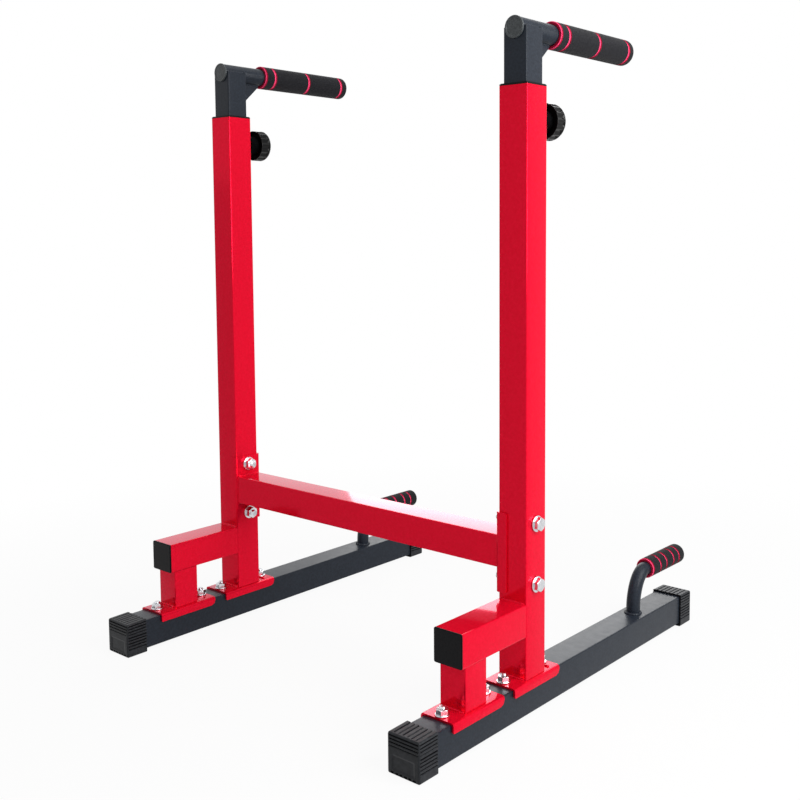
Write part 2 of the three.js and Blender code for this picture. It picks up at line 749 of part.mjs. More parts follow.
// One station. Its group's origin is on the floor, at the upright's axis.
function station(side, sign) {
  const group = new THREE.Group();
  group.position.x = (sign * stationSpacing) / 2;
  const add = (name, form, material, y, z) => {
    return addPiece(group, `${side}_${name}`, form, material, 0, y, z);
  };

  const saddles = { front: -frontPostBack, upright: 0 };
  const boltEnds = { front: -saddleBoltSpacing / 2, rear: saddleBoltSpacing / 2 };
  const boltPlaces = Object.values(saddles).flatMap((y) => Object.values(boltEnds).map((end) => y + end));
  add("base_tube", baseTube(boltPlaces), greyPaint, 0, baseBottom + frameTube / 2);
  add("front_foot_cap", footCap(), blackRubber, -baseFront, 0);
  add("rear_foot_cap", footCap(), blackRubber, baseRear, 0).rotation.z = Math.PI;
  for (const [place, y] of Object.entries(saddles)) {
    add(`${place}_saddle`, saddle(), redPaint, y, saddleTop);
    for (const [end, offset] of Object.entries(boltEnds)) {
      add(`${place}_saddle_${end}_bolt`, baseBolt(), zincSteel, y + offset, saddleTop);
    }
  }
  add("upright_tube", uprightTube(), redPaint, 0, 0);
  const frontPost = squareTube(frontPostWidth, frontPostDepth, frameWall, frameCorner, frontPostLength);
  add("front_post", frontPost, redPaint, -frontPostBack, uprightBottom);
  add("brace_tube", alongY(frameTubeOf(braceLength), 0), redPaint, -braceRear, braceCentre);
  const plug = squarePlug(frameTube, frameCorner, frameTube - frameWall * 2 - seatGap * 2);
  const bracePlug = add("brace_end_plug", plug, blackPlastic, -braceRear - braceLength - seatGap, braceCentre);
  bracePlug.rotation.x = Math.PI / 2;
  group.add(crossbarJoint(side, sign));

  add("upright_collar", uprightCollar(), blackPlastic, 0, uprightTop + seatGap);
  add("handle_post", handlePost(), greyPaint, 0, 0);
  add("post_glide", postGlide(), blackPlastic, 0, postTop - postLength);
  add("handle_bar", handleBar(), greyPaint, 0, barAxis);
  add("handle_bar_plug", barPlug(), blackPlastic, -postTube / 2, barAxis).rotation.x = Math.PI / 2;
  add("handle_gusset", handleGusset(), greyPaint, 0, barAxis);
  const handleFoam = foamGrip(gripRadius, barRadius + seatGap, gripLength, gripRound);
  add("handle_grip", handleFoam, gripFoam, gripFront, barAxis).rotation.x = -Math.PI / 2;

  const noseFront = postTube / 2 + slideGap;
  const hubFront = frameTube / 2 + lockNutLength + lockTravelIn + threadGap;
  const screw = lockScrew(hubFront + knobScrewDepth - noseFront);
  add("lock_screw", screw, zincSteel, noseFront, lockAxis).rotation.x = -Math.PI / 2;
  add("lock_knob", lockKnob(), blackPlastic, hubFront, lockAxis).rotation.x = -Math.PI / 2;

  add("push_up_bar", pushUpBar(), greyPaint, pushUpFoot, baseTop + seatGap);
  const lowFoam = foamGrip(pushUpGripRadius, pushUpRadius + seatGap, pushUpGripLength, pushUpGripRound);
  add("push_up_grip", lowFoam, gripFoam, pushUpGripFront, pushUpAxis).rotation.x = -Math.PI / 2;
  return group;
}

// The bracket and the cross fasteners of one station, made for the right one and turned round for the left.
function crossbarJoint(side, sign) {
  const group = new THREE.Group();
  group.rotation.z = sign < 0 ? Math.PI : 0;
  const bracketFace = -frameTube / 2 - seatGap - bracketPlate;
  addPiece(group, `${side}_crossbar_bracket`, crossbarBracket(), redPaint, bracketFace, 0, crossbarHeight);
  const levels = { lower: -crossBoltSpacing / 2, upper: crossBoltSpacing / 2 };
  for (const [level, offset] of Object.entries(levels)) {
    const z = crossbarHeight + offset;
    const outerFace = frameTube / 2 + seatGap;
    const innerFace = bracketFace - seatGap;
    const bolt = addPiece(group, `${side}_${level}_cross_bolt`, crossBolt(), zincSteel, outerFace, 0, z);
    bolt.rotation.y = Math.PI / 2;
    const nut = addPiece(group, `${side}_${level}_cross_nut`, crossNut(), zincSteel, innerFace, 0, z);
    nut.rotation.y = -Math.PI / 2;
  }
  return group;
}

const dipStation = new THREE.Group();
dipStation.name = "dip_station";
dipStation.position.y = -(frontEnd + rearEnd) / 2;
dipStation.add(station("left", -1), station("right", 1));

const bracketSpan = stationSpacing - frameTube - (seatGap * 2 + bracketPlate) * 2;
const crossbar = alongX(frameTubeOf(bracketSpan), -bracketSpan / 2);
addPiece(dipStation, "crossbar_tube", crossbar, redPaint, 0, 0, crossbarHeight);

export default dipStation;
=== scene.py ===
"""The looks of the dip station: camera, studio, finishes and the pieces whose fine surface is made here.

Metres, +Z up, +X towards the right station, -Y to the front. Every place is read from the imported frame.
"""

import json
import math
import random

import bpy
from mathutils import Matrix, Vector, noise


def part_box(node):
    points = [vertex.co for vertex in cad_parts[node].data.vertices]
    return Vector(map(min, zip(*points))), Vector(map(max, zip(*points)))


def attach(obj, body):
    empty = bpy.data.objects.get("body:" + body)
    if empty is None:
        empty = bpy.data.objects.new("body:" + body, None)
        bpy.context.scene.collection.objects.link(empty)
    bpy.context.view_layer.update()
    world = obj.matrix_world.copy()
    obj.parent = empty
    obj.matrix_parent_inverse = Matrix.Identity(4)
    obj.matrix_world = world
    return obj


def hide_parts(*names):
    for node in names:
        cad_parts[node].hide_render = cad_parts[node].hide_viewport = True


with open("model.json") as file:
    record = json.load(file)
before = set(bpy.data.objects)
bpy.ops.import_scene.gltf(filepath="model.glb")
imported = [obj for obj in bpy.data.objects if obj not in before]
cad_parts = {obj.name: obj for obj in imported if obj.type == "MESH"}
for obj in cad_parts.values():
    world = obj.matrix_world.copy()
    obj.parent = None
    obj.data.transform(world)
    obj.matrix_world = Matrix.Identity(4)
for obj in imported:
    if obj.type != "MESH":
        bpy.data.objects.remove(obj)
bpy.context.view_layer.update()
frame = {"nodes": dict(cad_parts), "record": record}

MM = 0.001
SIDES = ("left", "right")
X_AXIS = Vector((1, 0, 0))
Y_AXIS = Vector((0, 1, 0))
Z_AXIS = Vector((0, 0, 1))
INWARD = {"left": X_AXIS, "right": -X_AXIS}

# Camera, fitted to straight edges of the photograph
CAMERA_PLACE = Vector((1.27752, -1.43359, 0.74764))
CAMERA_TURN = math.radians(39.943)
CAMERA_DIP = math.radians(4.869)
CAMERA_ROLL = math.radians(-0.264)
CAMERA_SENSOR = 36.0
CAMERA_LENS = 47.820
CAMERA_SHIFT_X = -0.04961
CAMERA_SHIFT_Y = -0.09768

# Studio
FLOOR_HALF = 60.0
FLOOR_SHADE = 0.66
FLOOR_GLOW_NEAR = 0.93
FLOOR_GLOW_FAR = 1.0
FLOOR_NEAR = 0.5
FLOOR_FAR = 1.5
WORLD_GLOW = 0.12

# Lamps: name, place, what it is aimed at, width and watts
LAMP_AIM = Vector((0.1, 0, 0.5))
RIGHT_STATION_AIM = Vector((0.34, 0, 0.5))
LAMPS = (
    ("key", Vector((1.75, 0.05, 1.2)), LAMP_AIM, 1.3, 46),
    ("front", Vector((0.95, -1.3, 1.4)), RIGHT_STATION_AIM, 0.5, 6),
    ("top", Vector((0.4, 0.1, 2.8)), LAMP_AIM, 1.4, 20),
    ("fill", Vector((-2.4, -1.6, 1.8)), LAMP_AIM, 1.8, 4),
    ("rear", Vector((-1.3, 2.3, 1.7)), LAMP_AIM, 1.8, 24),
)

# Roundness of the pieces made here
ROUND_SIDES = 48
KNOB_SIDES = 144
EDGE_STEPS = 3
LIP_STEPS = 5
BEND_STEPS = 18
ARC_STEPS = 24
SHARP_ANGLE = math.radians(38)
MERGE_DISTANCE = 0.01 * MM

# Foam grips: the rings' places count from the front end
HANDLE_RINGS = (22 * MM, 110.5 * MM, 201 * MM)
HANDLE_RING_WIDTH = 6 * MM
PUSH_UP_RINGS = (27 * MM, 50 * MM, 77 * MM, 98 * MM)
PUSH_UP_RING_WIDTH = 4.2 * MM
RING_DEPTH = 1.6 * MM
RING_STEPS = 10
RING_CURVE = 0.6
# The middle share of each ring's width is painted lighter as a highlight; the flanks either side are painted
# darker as shade
RING_HIGHLIGHT_SHARE = 0.5
FOAM_LIP = 1.3 * MM
FOAM_LIP_INSET = 0.3 * MM
FOAM_BORE_EDGE = 0.5 * MM
FOAM_BAND = 3.6 * MM
FOAM_NICK_SHARE = 0.5
FOAM_NICK_PLACE = 0.4 * MM
FOAM_NICK_END = 0.9 * MM
FOAM_WALL_END = 5 * MM
FOAM_INNER_SHARE = 0.2
FOAM_TIP_SHARE = 0.1
FOAM_END_STEPS = 8
HANDLE_FOAM_ROUND = 7 * MM
PUSH_UP_FOAM_ROUND = 6 * MM
# Paints of a grip: black foam, red painted lighter as a highlight, and red painted darker as shade
FOAM_BLACK, FOAM_HIGHLIGHT_PAINT, FOAM_SHADE_PAINT = range(3)

# Round bars under the foam
HANDLE_BAR_WALL = 2 * MM
HANDLE_BAR_EDGE = 0.6 * MM
HANDLE_BAR_EDGE_STEPS = 2
PUSH_UP_BAR_WALL = 1.8 * MM
PUSH_UP_RADIUS = 12.5 * MM
PUSH_UP_BEND_RISE = 65 * MM
PUSH_UP_BEND_RUN = 40 * MM
BAR_GAP = 0.3 * MM

# Bar plug
PLUG_BODY = 15 * MM
PLUG_LIP = 0.8 * MM
PLUG_RIM = 2.2 * MM
PLUG_DISH = 0.9 * MM
PLUG_ROUND = 0.9 * MM
PLUG_TAIL_SHARE = 0.3
# Inset from the rim and depth below it, in depths of the dish
PLUG_SLOPE_SHARES = ((0, 0), (0.5, 0.3), (1.4, 1))
# Radius as a share of the rim's, and depth below it in depths of the dish
PLUG_FLOOR_SHARES = ((0.3, 0.9), (0.1, 0.88))

# Knob
KNOB_FLUTES = 15
KNOB_FLUTE_DEPTH = 2.3 * MM
KNOB_FLUTE_RUN_OUT = 1.5 * MM
KNOB_RIM = 5 * MM
KNOB_FRONT_ROUND = 1 * MM
KNOB_REAR_ROUND = 4.5 * MM
KNOB_REAR_STEPS = 6
KNOB_SIDE_STEPS = 14
KNOB_HUB_RADIUS = 18 * MM
KNOB_HUB = 2.5 * MM
KNOB_HOLLOW_RADIUS = 25 * MM
KNOB_HOLLOW = 5 * MM
KNOB_HOLLOW_EDGE = 0.5 * MM
KNOB_MIDDLE_SHARE = 0.3
KNOB_SKIRT = 14 * MM
KNOB_SKIRT_WALL = 3 * MM
KNOB_SKIRT_OVERLAP = 1 * MM
KNOB_DISH_RADIUS = 18 * MM
KNOB_DISH = 1.5 * MM
KNOB_DISH_MIDDLE_SHARE = 0.2
KNOB_GLOSSY, KNOB_DULL = range(2)

# Foot caps: the grooves' places count from the top
CAP_STEP = 0.85 * MM
CAP_LONG_STEP = 5 * MM
CAP_ROUND = 3.2 * MM
CAP_TAPER = 1 * MM
CAP_END_WALL = 3.7 * MM
CAP_SOCKET_HALF = 26.3 * MM
CAP_SOCKET_CORNER = 3.3 * MM
CAP_TUBE_MIDDLE = 31 * MM
CAP_GROOVE_WIDTH = 2.6 * MM
CAP_GROOVE_DEPTH = 2.2 * MM
CAP_GROOVE_CURVE = 0.7
CAP_GROOVE_RUN_OUT = 1.5 * MM
CAP_TOP_GROOVES = 6
CAP_TOP_PITCH = 8 * MM
CAP_SIDE_GROOVES = 9
CAP_SIDE_FIRST = 4 * MM
CAP_SIDE_PITCH = 5.3 * MM
CAP_END_GROOVES = 4
CAP_PLAIN_EDGE = 3 * MM
CAP_RIBS_START = 2 * CAP_PLAIN_EDGE
CAP_NOTCHES = 6
CAP_NOTCH_PITCH = 8 * MM
CAP_NOTCH_WIDTH = 4.4 * MM
CAP_NOTCH_LOW = 1.2 * MM
CAP_NOTCH_HIGH = 5 * MM
CAP_NOTCH_DEPTH = 2.6 * MM
CAP_PANEL_HALF = 21 * MM
CAP_PANEL_LOW = 7 * MM
CAP_PANEL_HIGH = 30 * MM
CAP_PANEL_DEPTH = 0.8 * MM
CAP_PANEL_SLOPE = 2.6 * MM
# A cap's faces sunk deeper into a groove or notch than the depth below get rubber painted darker as shade
CAP_SHADE_GROOVE_SHARE = 0.30
CAP_SHADE_DEPTH = CAP_SHADE_GROOVE_SHARE * CAP_GROOVE_DEPTH + CAP_PANEL_DEPTH / 3
# Paints of a cap: its rubber, and the rubber painted darker as shade
CAP_PALE, CAP_SHADE = range(2)

# Fasteners
HEX_SIDES = 6
HEX_SAMPLES = 72
HEX_FACE_SHARE = 0.97
CHAMFER_STEPS = 5
CHAMFER_SLOPE = math.tan(math.radians(60))
THREAD_SIDES = 36
THREAD_STEPS = 6
THREAD_DEPTH_SHARE = 0.6
BASE_THREAD_PITCH = 1.5 * MM
CROSS_THREAD_PITCH = 1.75 * MM
LOCK_THREAD_PITCH = 2 * MM
WASHER_ROUND = 0.5 * MM
WASHER_BORE_SHARE = 0.5
BASE_NUT_FLATS = 17 * MM
BASE_NUT_HEIGHT = 8 * MM
BASE_BOLT_RADIUS = 5 * MM
BASE_BOLT_END = 3.5 * MM
BASE_WASHER = 2 * MM
BASE_HEAD_HEIGHT = 3.6 * MM
BASE_HEAD_RADIUS = 10 * MM
BASE_HEAD_STEPS = 7
BASE_HEAD_FIRST_SHARE = 0.08
CROSS_HEX_FLATS = 19 * MM
CROSS_BOLT_RADIUS = 6 * MM
CROSS_SHANK_START = 3 * CROSS_THREAD_PITCH
CROSS_HEAD_HEIGHT = 7.5 * MM
CROSS_NUT_HEIGHT = 10 * MM
CROSS_WASHER = 2.5 * MM
LOCK_SCREW_RADIUS = 8 * MM
LOCK_NOSE_RADIUS = 5 * MM
LOCK_NOSE = 8.7 * MM
LOCK_NOSE_CHAMFER = 1.5 * MM

# Weld beads
WELD_STEP = 1.1 * MM
WELD_FEWEST = 4
WELD_SIDES = 10
WELD_RIPPLE = 3.6 * MM
WELD_RADIUS = 2.5 * MM
WELD_THIN = 1.5 * MM
WELD_HEAVY = 3.4 * MM
WELD_SHARE = 0.82
WELD_RIPPLE_SHARE = 0.16
WELD_LUMP_SHARE = 0.22
WELD_LUMP_STEP = 0.31
WELD_SEED_SPAN = 100
WELD_END_SHARE = 0.45
WELD_GROWTH_SHARE = 0.3
STEEP_SHARE = 0.9
FOOT_WELD_RISE = 0.3 * MM
TUBE_WELD_INSET = 3 * MM
BRACE_WELD_OFFSET = 0.2 * MM
CROSSBAR_WELD_INSET = 2.5 * MM
PUSH_UP_WELD_OFFSET = 0.6 * MM
POST_WELD_FRONT = 2 * MM
POST_WELD_REAR = 1 * MM
NOTCH_WELD_RADIUS = 1.7 * MM
NOTCH_WELD_OFFSET = 1 * MM
NOTCH_WELD_DROP = 0.8 * MM
BAR_REAR_WELD_RADIUS = 1.6 * MM
BAR_REAR_WELD_OFFSET = 0.4 * MM
BAR_REAR_WELD_FIRST = -200
BAR_REAR_WELD_LAST = 20
LOCK_NUT_WELD_RADIUS = 1.8 * MM
LOCK_NUT_WELD_REACH = 13 * MM
LOCK_NUT_WELD_OFFSET = 0.5 * MM
LOCK_NUT_WELD_LAST = 354
LOCK_NUT_WELD_STEPS = 36


# Materials

# Facing at which the paints' clear coat starts to shine, and at which its gloss is full
GLOSS_SQUARE = 0.40
GLOSS_ASLANT = 0.82
NOISE_DETAIL = 3.0
NOISE_ROUGHNESS = 0.55
FOAM_NOISE_ROUGHNESS = 0.7
NOISE_LOW = 0.3
NOISE_HIGH = 0.7
COLOR_BAND = (0.35, 0.65)


def add_noise(tree, scale, detail=NOISE_DETAIL, roughness=NOISE_ROUGHNESS):
    """A noise texture over the object's own coordinates."""
    place = tree.nodes.new("ShaderNodeTexCoord")
    texture = tree.nodes.new("ShaderNodeTexNoise")
    texture.inputs["Scale"].default_value = scale
    texture.inputs["Detail"].default_value = detail
    texture.inputs["Roughness"].default_value = roughness
    tree.links.new(place.outputs["Object"], texture.inputs["Vector"])
    return texture.outputs["Fac"]


def add_ramp(tree, value, band, colors):
    """Blends from the first colour to the second as value crosses the band."""
    ramp = tree.nodes.new("ShaderNodeValToRGB")
    for element, position, color in zip(ramp.color_ramp.elements, band, colors):
        element.position = position
        element.color = (*color, 1)
    tree.links.new(value, ramp.inputs["Fac"])
    return ramp.outputs["Color"]


def add_map(tree, value, source, target):
    """Maps a value's range from source to target, each as (low, high)."""
    mapped = tree.nodes.new("ShaderNodeMapRange")
    mapped.inputs["From Min"].default_value = source[0]
    mapped.inputs["From Max"].default_value = source[1]
    mapped.inputs["To Min"].default_value = target[0]
    mapped.inputs["To Max"].default_value = target[1]
    tree.links.new(value, mapped.inputs["Value"])
    return mapped.outputs["Result"]


def add_bump(tree, height, depth, under=None):
    """A bump of that depth in metres, on top of another one."""
    bump = tree.nodes.new("ShaderNodeBump")
    bump.inputs["Distance"].default_value = depth
    tree.links.new(height, bump.inputs["Height"])
    if under is not None:
        tree.links.new(under, bump.inputs["Normal"])
    return bump.outputs["Normal"]


def make_finish(
    name, grain, colors, rough_grain, rough, level=0.5, band=COLOR_BAND, bumps=(), coat=None, others=()
):
    """A material whose colour and roughness vary softly over the piece.

    grain is what add_noise takes for the colour, and band the part of that noise over which the first
    colour turns into the second. level is the specular level. Each bump is (scale, detail, depth) and
    lies on the one before it. coat is the clear coat's weight seen squarely and aslant.
    """
    made = bpy.data.materials.new(name)
    made.use_nodes = True
    tree = made.node_tree
    shader = tree.nodes["Principled BSDF"]
    tree.links.new(add_ramp(tree, add_noise(tree, *grain), band, colors), shader.inputs["Base Color"])
    roughness = add_map(tree, add_noise(tree, rough_grain), (NOISE_LOW, NOISE_HIGH), rough)
    tree.links.new(roughness, shader.inputs["Roughness"])
    if coat is not None:
        facing = tree.nodes.new("ShaderNodeLayerWeight").outputs["Facing"]
        weight = add_map(tree, facing, (GLOSS_SQUARE, GLOSS_ASLANT), coat)
        tree.links.new(weight, shader.inputs["Coat Weight"])
    normal = None
    for scale, detail, depth in bumps:
        normal = add_bump(tree, add_noise(tree, scale, detail), depth, normal)
    if normal is not None:
        tree.links.new(normal, shader.inputs["Normal"])
    for socket, value in (("Specular IOR Level", level), *others):
        shader.inputs[socket].default_value = value
    return made


# Candy red powder coat: clear red over a bright metallic ground, with a fine orange peel
RED_PAINT = make_finish(
    "red_powder_coat",
    grain=(210, 4),
    band=(0.35, 0.68),
    colors=((0.66, 0.003, 0.020), (0.74, 0.005, 0.028)),
    rough_grain=60,
    rough=(0.10, 0.16),
    coat=(0.04, 1.0),
    bumps=((420, 2, 0.03 * MM), (1300, 2, 0.01 * MM)),
    level=0.04,
    others=(("Metallic", 0.42), ("Specular Tint", (1.0, 0.42, 0.66, 1)), ("Coat Roughness", 0.06)),
)

# Satin charcoal powder coat
GREY_PAINT = make_finish(
    "charcoal_powder_coat",
    grain=(260, 4),
    band=(0.35, 0.68),
    colors=((0.008, 0.011, 0.017), (0.014, 0.019, 0.028)),
    rough_grain=70,
    rough=(0.36, 0.44),
    coat=(0.0, 0.45),
    bumps=((520, 2, 0.04 * MM), (1500, 2, 0.02 * MM)),
    level=0.16,
    others=(("Coat Roughness", 0.30),),
)

# Moulded black plastic with a fine spark texture
MATT_PLASTIC = make_finish(
    "black_moulded_plastic",
    grain=(300, 3),
    colors=((0.004, 0.004, 0.005), (0.008, 0.008, 0.009)),
    rough_grain=90,
    rough=(0.28, 0.36),
    bumps=((1800, 2, 0.03 * MM),),
    level=0.08,
)

# The slightly paler plastic of the round bar plugs
BAR_PLUG_PLASTIC = make_finish(
    "charcoal_moulded_plastic",
    grain=(500, 4),
    colors=((0.024, 0.028, 0.030), (0.060, 0.068, 0.072)),
    rough_grain=90,
    rough=(0.30, 0.40),
    bumps=((1100, 2, 0.06 * MM),),
    level=0.3,
)

# Polished black plastic of the knobs
GLOSS_PLASTIC = make_finish(
    "glossy_black_plastic",
    grain=(120, 3),
    colors=((0.001, 0.001, 0.0012), (0.002, 0.002, 0.0024)),
    rough_grain=90,
    rough=(0.06, 0.12),
    bumps=((260, 2, 0.03 * MM),),
    level=0.15,
)

# The unpolished underside of the knobs
DULL_PLASTIC = make_finish(
    "dull_black_plastic",
    grain=(200, 3),
    colors=((0.001, 0.001, 0.0012), (0.002, 0.002, 0.0024)),
    rough_grain=90,
    rough=(0.6, 0.75),
    level=0.02,
)

# Black rubber with a dusty, matt surface
RUBBER = make_finish(
    "black_rubber",
    grain=(160, 5),
    band=(0.32, 0.70),
    colors=((0.009, 0.010, 0.012), (0.022, 0.024, 0.028)),
    rough_grain=80,
    rough=(0.30, 0.40),
    bumps=((900, 3, 0.08 * MM),),
    level=0.16,
)

# The same black rubber painted darker as shade in a cap's grooves and notches and round its mouth
SHADE_PAINTED_RUBBER = make_finish(
    "rubber_painted_shade",
    grain=(160, 3),
    colors=((0.003, 0.003, 0.004), (0.006, 0.006, 0.007)),
    rough_grain=80,
    rough=(0.6, 0.75),
    level=0.03,
)

# Bright zinc plating with faint stains
ZINC = make_finish(
    "bright_zinc",
    grain=(180, 4),
    band=(0.3, 0.7),
    colors=((0.56, 0.57, 0.60), (0.74, 0.75, 0.77)),
    rough_grain=140,
    rough=(0.18, 0.28),
    bumps=((700, 2, 0.03 * MM),),
    others=(("Metallic", 1.0),),
)

# Closed-cell foam skin: dark, matt and finely pored
BLACK_FOAM = make_finish(
    "black_foam",
    grain=(420, 5, FOAM_NOISE_ROUGHNESS),
    band=(0.35, 0.68),
    colors=((0.003, 0.003, 0.004), (0.012, 0.012, 0.015)),
    rough_grain=200,
    rough=(0.75, 0.90),
    bumps=((1100, 3, 0.22 * MM), (320, 2, 0.25 * MM)),
    level=0.14,
    others=(("Sheen Weight", 0.04), ("Sheen Roughness", 0.5)),
)

# The rings' red foam, painted lighter as a highlight on the rings' cores and on the front lip
FOAM_HIGHLIGHT_MATERIAL = make_finish(
    "foam_red_painted_highlight",
    grain=(500, 4),
    colors=((0.66, 0.030, 0.11), (0.88, 0.060, 0.18)),
    rough_grain=200,
    rough=(0.6, 0.75),
    bumps=((1100, 3, 0.12 * MM),),
    level=0.2,
)

# The same red foam painted darker as shade on a grip's cut front end, the nick behind its lip and the flanks
# of its rings
FOAM_SHADE_MATERIAL = make_finish(
    "foam_red_painted_shade",
    grain=(500, 4),
    colors=((0.20, 0.002, 0.016), (0.34, 0.004, 0.030)),
    rough_grain=200,
    rough=(0.7, 0.85),
    bumps=((900, 3, 0.15 * MM),),
    level=0.1,
)

FINISHES = {
    "red_paint": RED_PAINT,
    "grey_paint": GREY_PAINT,
    "plug_plastic": MATT_PLASTIC,
    "knob_plastic": GLOSS_PLASTIC,
    "foot_rubber": RUBBER,
    "zinc_steel": ZINC,
    "grip_foam": BLACK_FOAM,
}


def dress_frame():
    """Gives every CAD node its finish, and soft shading on its rounded corners."""
    for row in frame["record"]["subparts"]:
        node = frame["nodes"][row["node"]]
        node.data.materials.clear()
        node.data.materials.append(FINISHES[row["material_slot"]])
        for face in node.data.polygons:
            face.use_smooth = True
            face.material_index = 0
        weld = node.modifiers.new("merge", "WELD")
        weld.merge_threshold = MERGE_DISTANCE
        split = node.modifiers.new("creases", "EDGE_SPLIT")
        split.split_angle = SHARP_ANGLE
        shading = node.modifiers.new("shading", "WEIGHTED_NORMAL")
        shading.keep_sharp = True


# Mesh building


class Shells:
    """Closed shells, each a stack of rings, collected into one mesh."""

    def __init__(self, origin=Vector((0, 0, 0)), axis=Z_AXIS):
        turn = Z_AXIS.rotation_difference(axis).to_matrix().to_4x4()
        self.place = Matrix.Translation(origin) @ turn
        self.points = []
        self.faces = []
        self.paints = []

    def stack(self, rings, paints=None, loop=False):
        """Joins rings of equally many points, closed by flat ends or back to the first ring."""
        first = len(self.points)
        count = len(rings[0])
        for ring in rings:
            self.points.extend(self.place @ point for point in ring)
        spans = len(rings) if loop else len(rings) - 1
        for i in range(spans):
            low = first + i * count
            high = first + ((i + 1) % len(rings)) * count
            for j in range(count):
                k = (j + 1) % count
                self.faces.append((low + j, low + k, high + k, high + j))
                self.paints.append(paints[i] if paints else 0)
        if not loop:
            last = first + (len(rings) - 1) * count
            self.faces.append(tuple(reversed(range(first, first + count))))
            self.faces.append(tuple(range(last, last + count)))
            self.paints.append(paints[0] if paints else 0)
            self.paints.append(paints[-1] if paints else 0)

    def lathe(self, profile, sides=ROUND_SIDES, paints=None, loop=False):
        """A shell turned about +Z from (radius, height) pairs."""
        rings = [circle(radius, height, sides) for radius, height in profile]
        self.stack(rings, paints, loop)

    def build(self, name, body, slot, materials=None):
        """The mesh object, riding on its body."""
        mesh = bpy.data.meshes.new(name)
        mesh.from_pydata(self.points, [], self.faces)
        for material in materials or [FINISHES[slot]]:
            mesh.materials.append(material)
        mesh.polygons.foreach_set("material_index", self.paints)
        mesh.validate()
        mesh.shade_smooth()
        mesh.set_sharp_from_angle(angle=SHARP_ANGLE)
        made = bpy.data.objects.new(name, mesh)
        bpy.context.scene.collection.objects.link(made)
        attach(made, body)
        return made


def angles(count):
    """The angles that divide a full turn evenly."""
    return [2 * math.pi * i / count for i in range(count)]


def polar(radius, angle, height):
    """The point at that radius, angle and height about +Z."""
    return Vector((radius * math.cos(angle), radius * math.sin(angle), height))


def circle(radius, height, sides=ROUND_SIDES):
    """A ring of points about +Z."""
    return [polar(radius, angle, height) for angle in angles(sides)]


def rounded(radius, end, round_size, steps, rising=True):
    """(radius, height) pairs of a rounded edge, from the side to the flat end at height end."""
    pairs = []
    for i in range(steps + 1):
        angle = i / steps * math.pi / 2
        inset = round_size * (1 - math.cos(angle))
        drop = round_size * (1 - math.sin(angle))
        pairs.append((radius - inset, end - drop if rising else end + drop))
    return pairs


def middle(low, high):
    """The point halfway between two corners."""
    return (low + high) / 2


# Foam grips and the bars in them


def foam_grip(side, place, rings, ring_width, round_size, bore):
    """A foam sleeve with red rings cut in it, a red front end and a closed, rounded rear end, its red painted
    lighter as highlights and darker as shade.
    """
    node = f"{side}_{place}_grip"
    low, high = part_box(node)
    centre = middle(low, high)
    length = high.y - low.y
    radius = (high.x - low.x) / 2
    wall = length - FOAM_WALL_END
    profile = [(FOAM_INNER_SHARE * bore, wall), (bore, wall), (bore, FOAM_LIP)]
    profile += [(bore + FOAM_BORE_EDGE, 0), (radius - FOAM_LIP - FOAM_LIP_INSET, 0)]
    # The cut front end is painted darker as shade and the rounded lip lighter as a highlight
    paints = [FOAM_SHADE_PAINT] * len(profile)
    profile += reversed(rounded(radius, 0, FOAM_LIP, LIP_STEPS, rising=False))
    paints += [FOAM_HIGHLIGHT_PAINT] * (len(profile) - len(paints) - 1)
    nick = radius - FOAM_NICK_SHARE * RING_DEPTH
    # The nick behind the lip is painted darker as shade
    profile += [(radius, FOAM_BAND), (nick, FOAM_BAND + FOAM_NICK_PLACE), (radius, FOAM_BAND + FOAM_NICK_END)]
    paints += [FOAM_SHADE_PAINT] * (len(profile) - len(paints) - 1)
    # Each ring's middle is painted lighter as a highlight and its flanks darker as shade
    core = (1 - RING_HIGHLIGHT_SHARE) / 2
    for start in rings:
        paints += [FOAM_BLACK] * (len(profile) - len(paints))
        for i in range(RING_STEPS + 1):
            share = i / RING_STEPS
            depth = RING_DEPTH * max(0.0, math.sin(math.pi * share)) ** RING_CURVE
            profile.append((radius - depth, start + ring_width * share))
            paints.append(FOAM_HIGHLIGHT_PAINT if core <= share < 1 - core else FOAM_SHADE_PAINT)
        paints[-1] = FOAM_BLACK
    profile += rounded(radius, length, round_size, FOAM_END_STEPS)
    profile.append((FOAM_TIP_SHARE * radius, length))
    paints += [FOAM_BLACK] * (len(profile) - len(paints))
    shells = Shells(Vector((centre.x, low.y, centre.z)), Y_AXIS)
    shells.lathe(profile, paints=paints)
    body = f"{side}_handle" if place == "handle" else "frame"
    materials = [BLACK_FOAM, FOAM_HIGHLIGHT_MATERIAL, FOAM_SHADE_MATERIAL]
    made = shells.build(f"{node}_foam", body, "grip_foam", materials)
    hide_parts(node)


def handle_bar(side):
    """The round handle tube, open at its front end for the plug."""
    low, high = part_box(f"{side}_handle_bar")
    centre = middle(low, high)
    radius = (high.x - low.x) / 2
    length = high.y - low.y
    inner = radius - HANDLE_BAR_WALL
    edge = rounded(radius, 0, HANDLE_BAR_EDGE, HANDLE_BAR_EDGE_STEPS, rising=False)
    profile = [(inner, 0), *reversed(edge), (radius, length), (inner, length)]
    shells = Shells(Vector((centre.x, low.y, centre.z)), Y_AXIS)
    shells.lathe(profile, loop=True)
    made = shells.build(f"{side}_handle_tube", f"{side}_handle", "grey_paint")
    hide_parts(f"{side}_handle_bar")


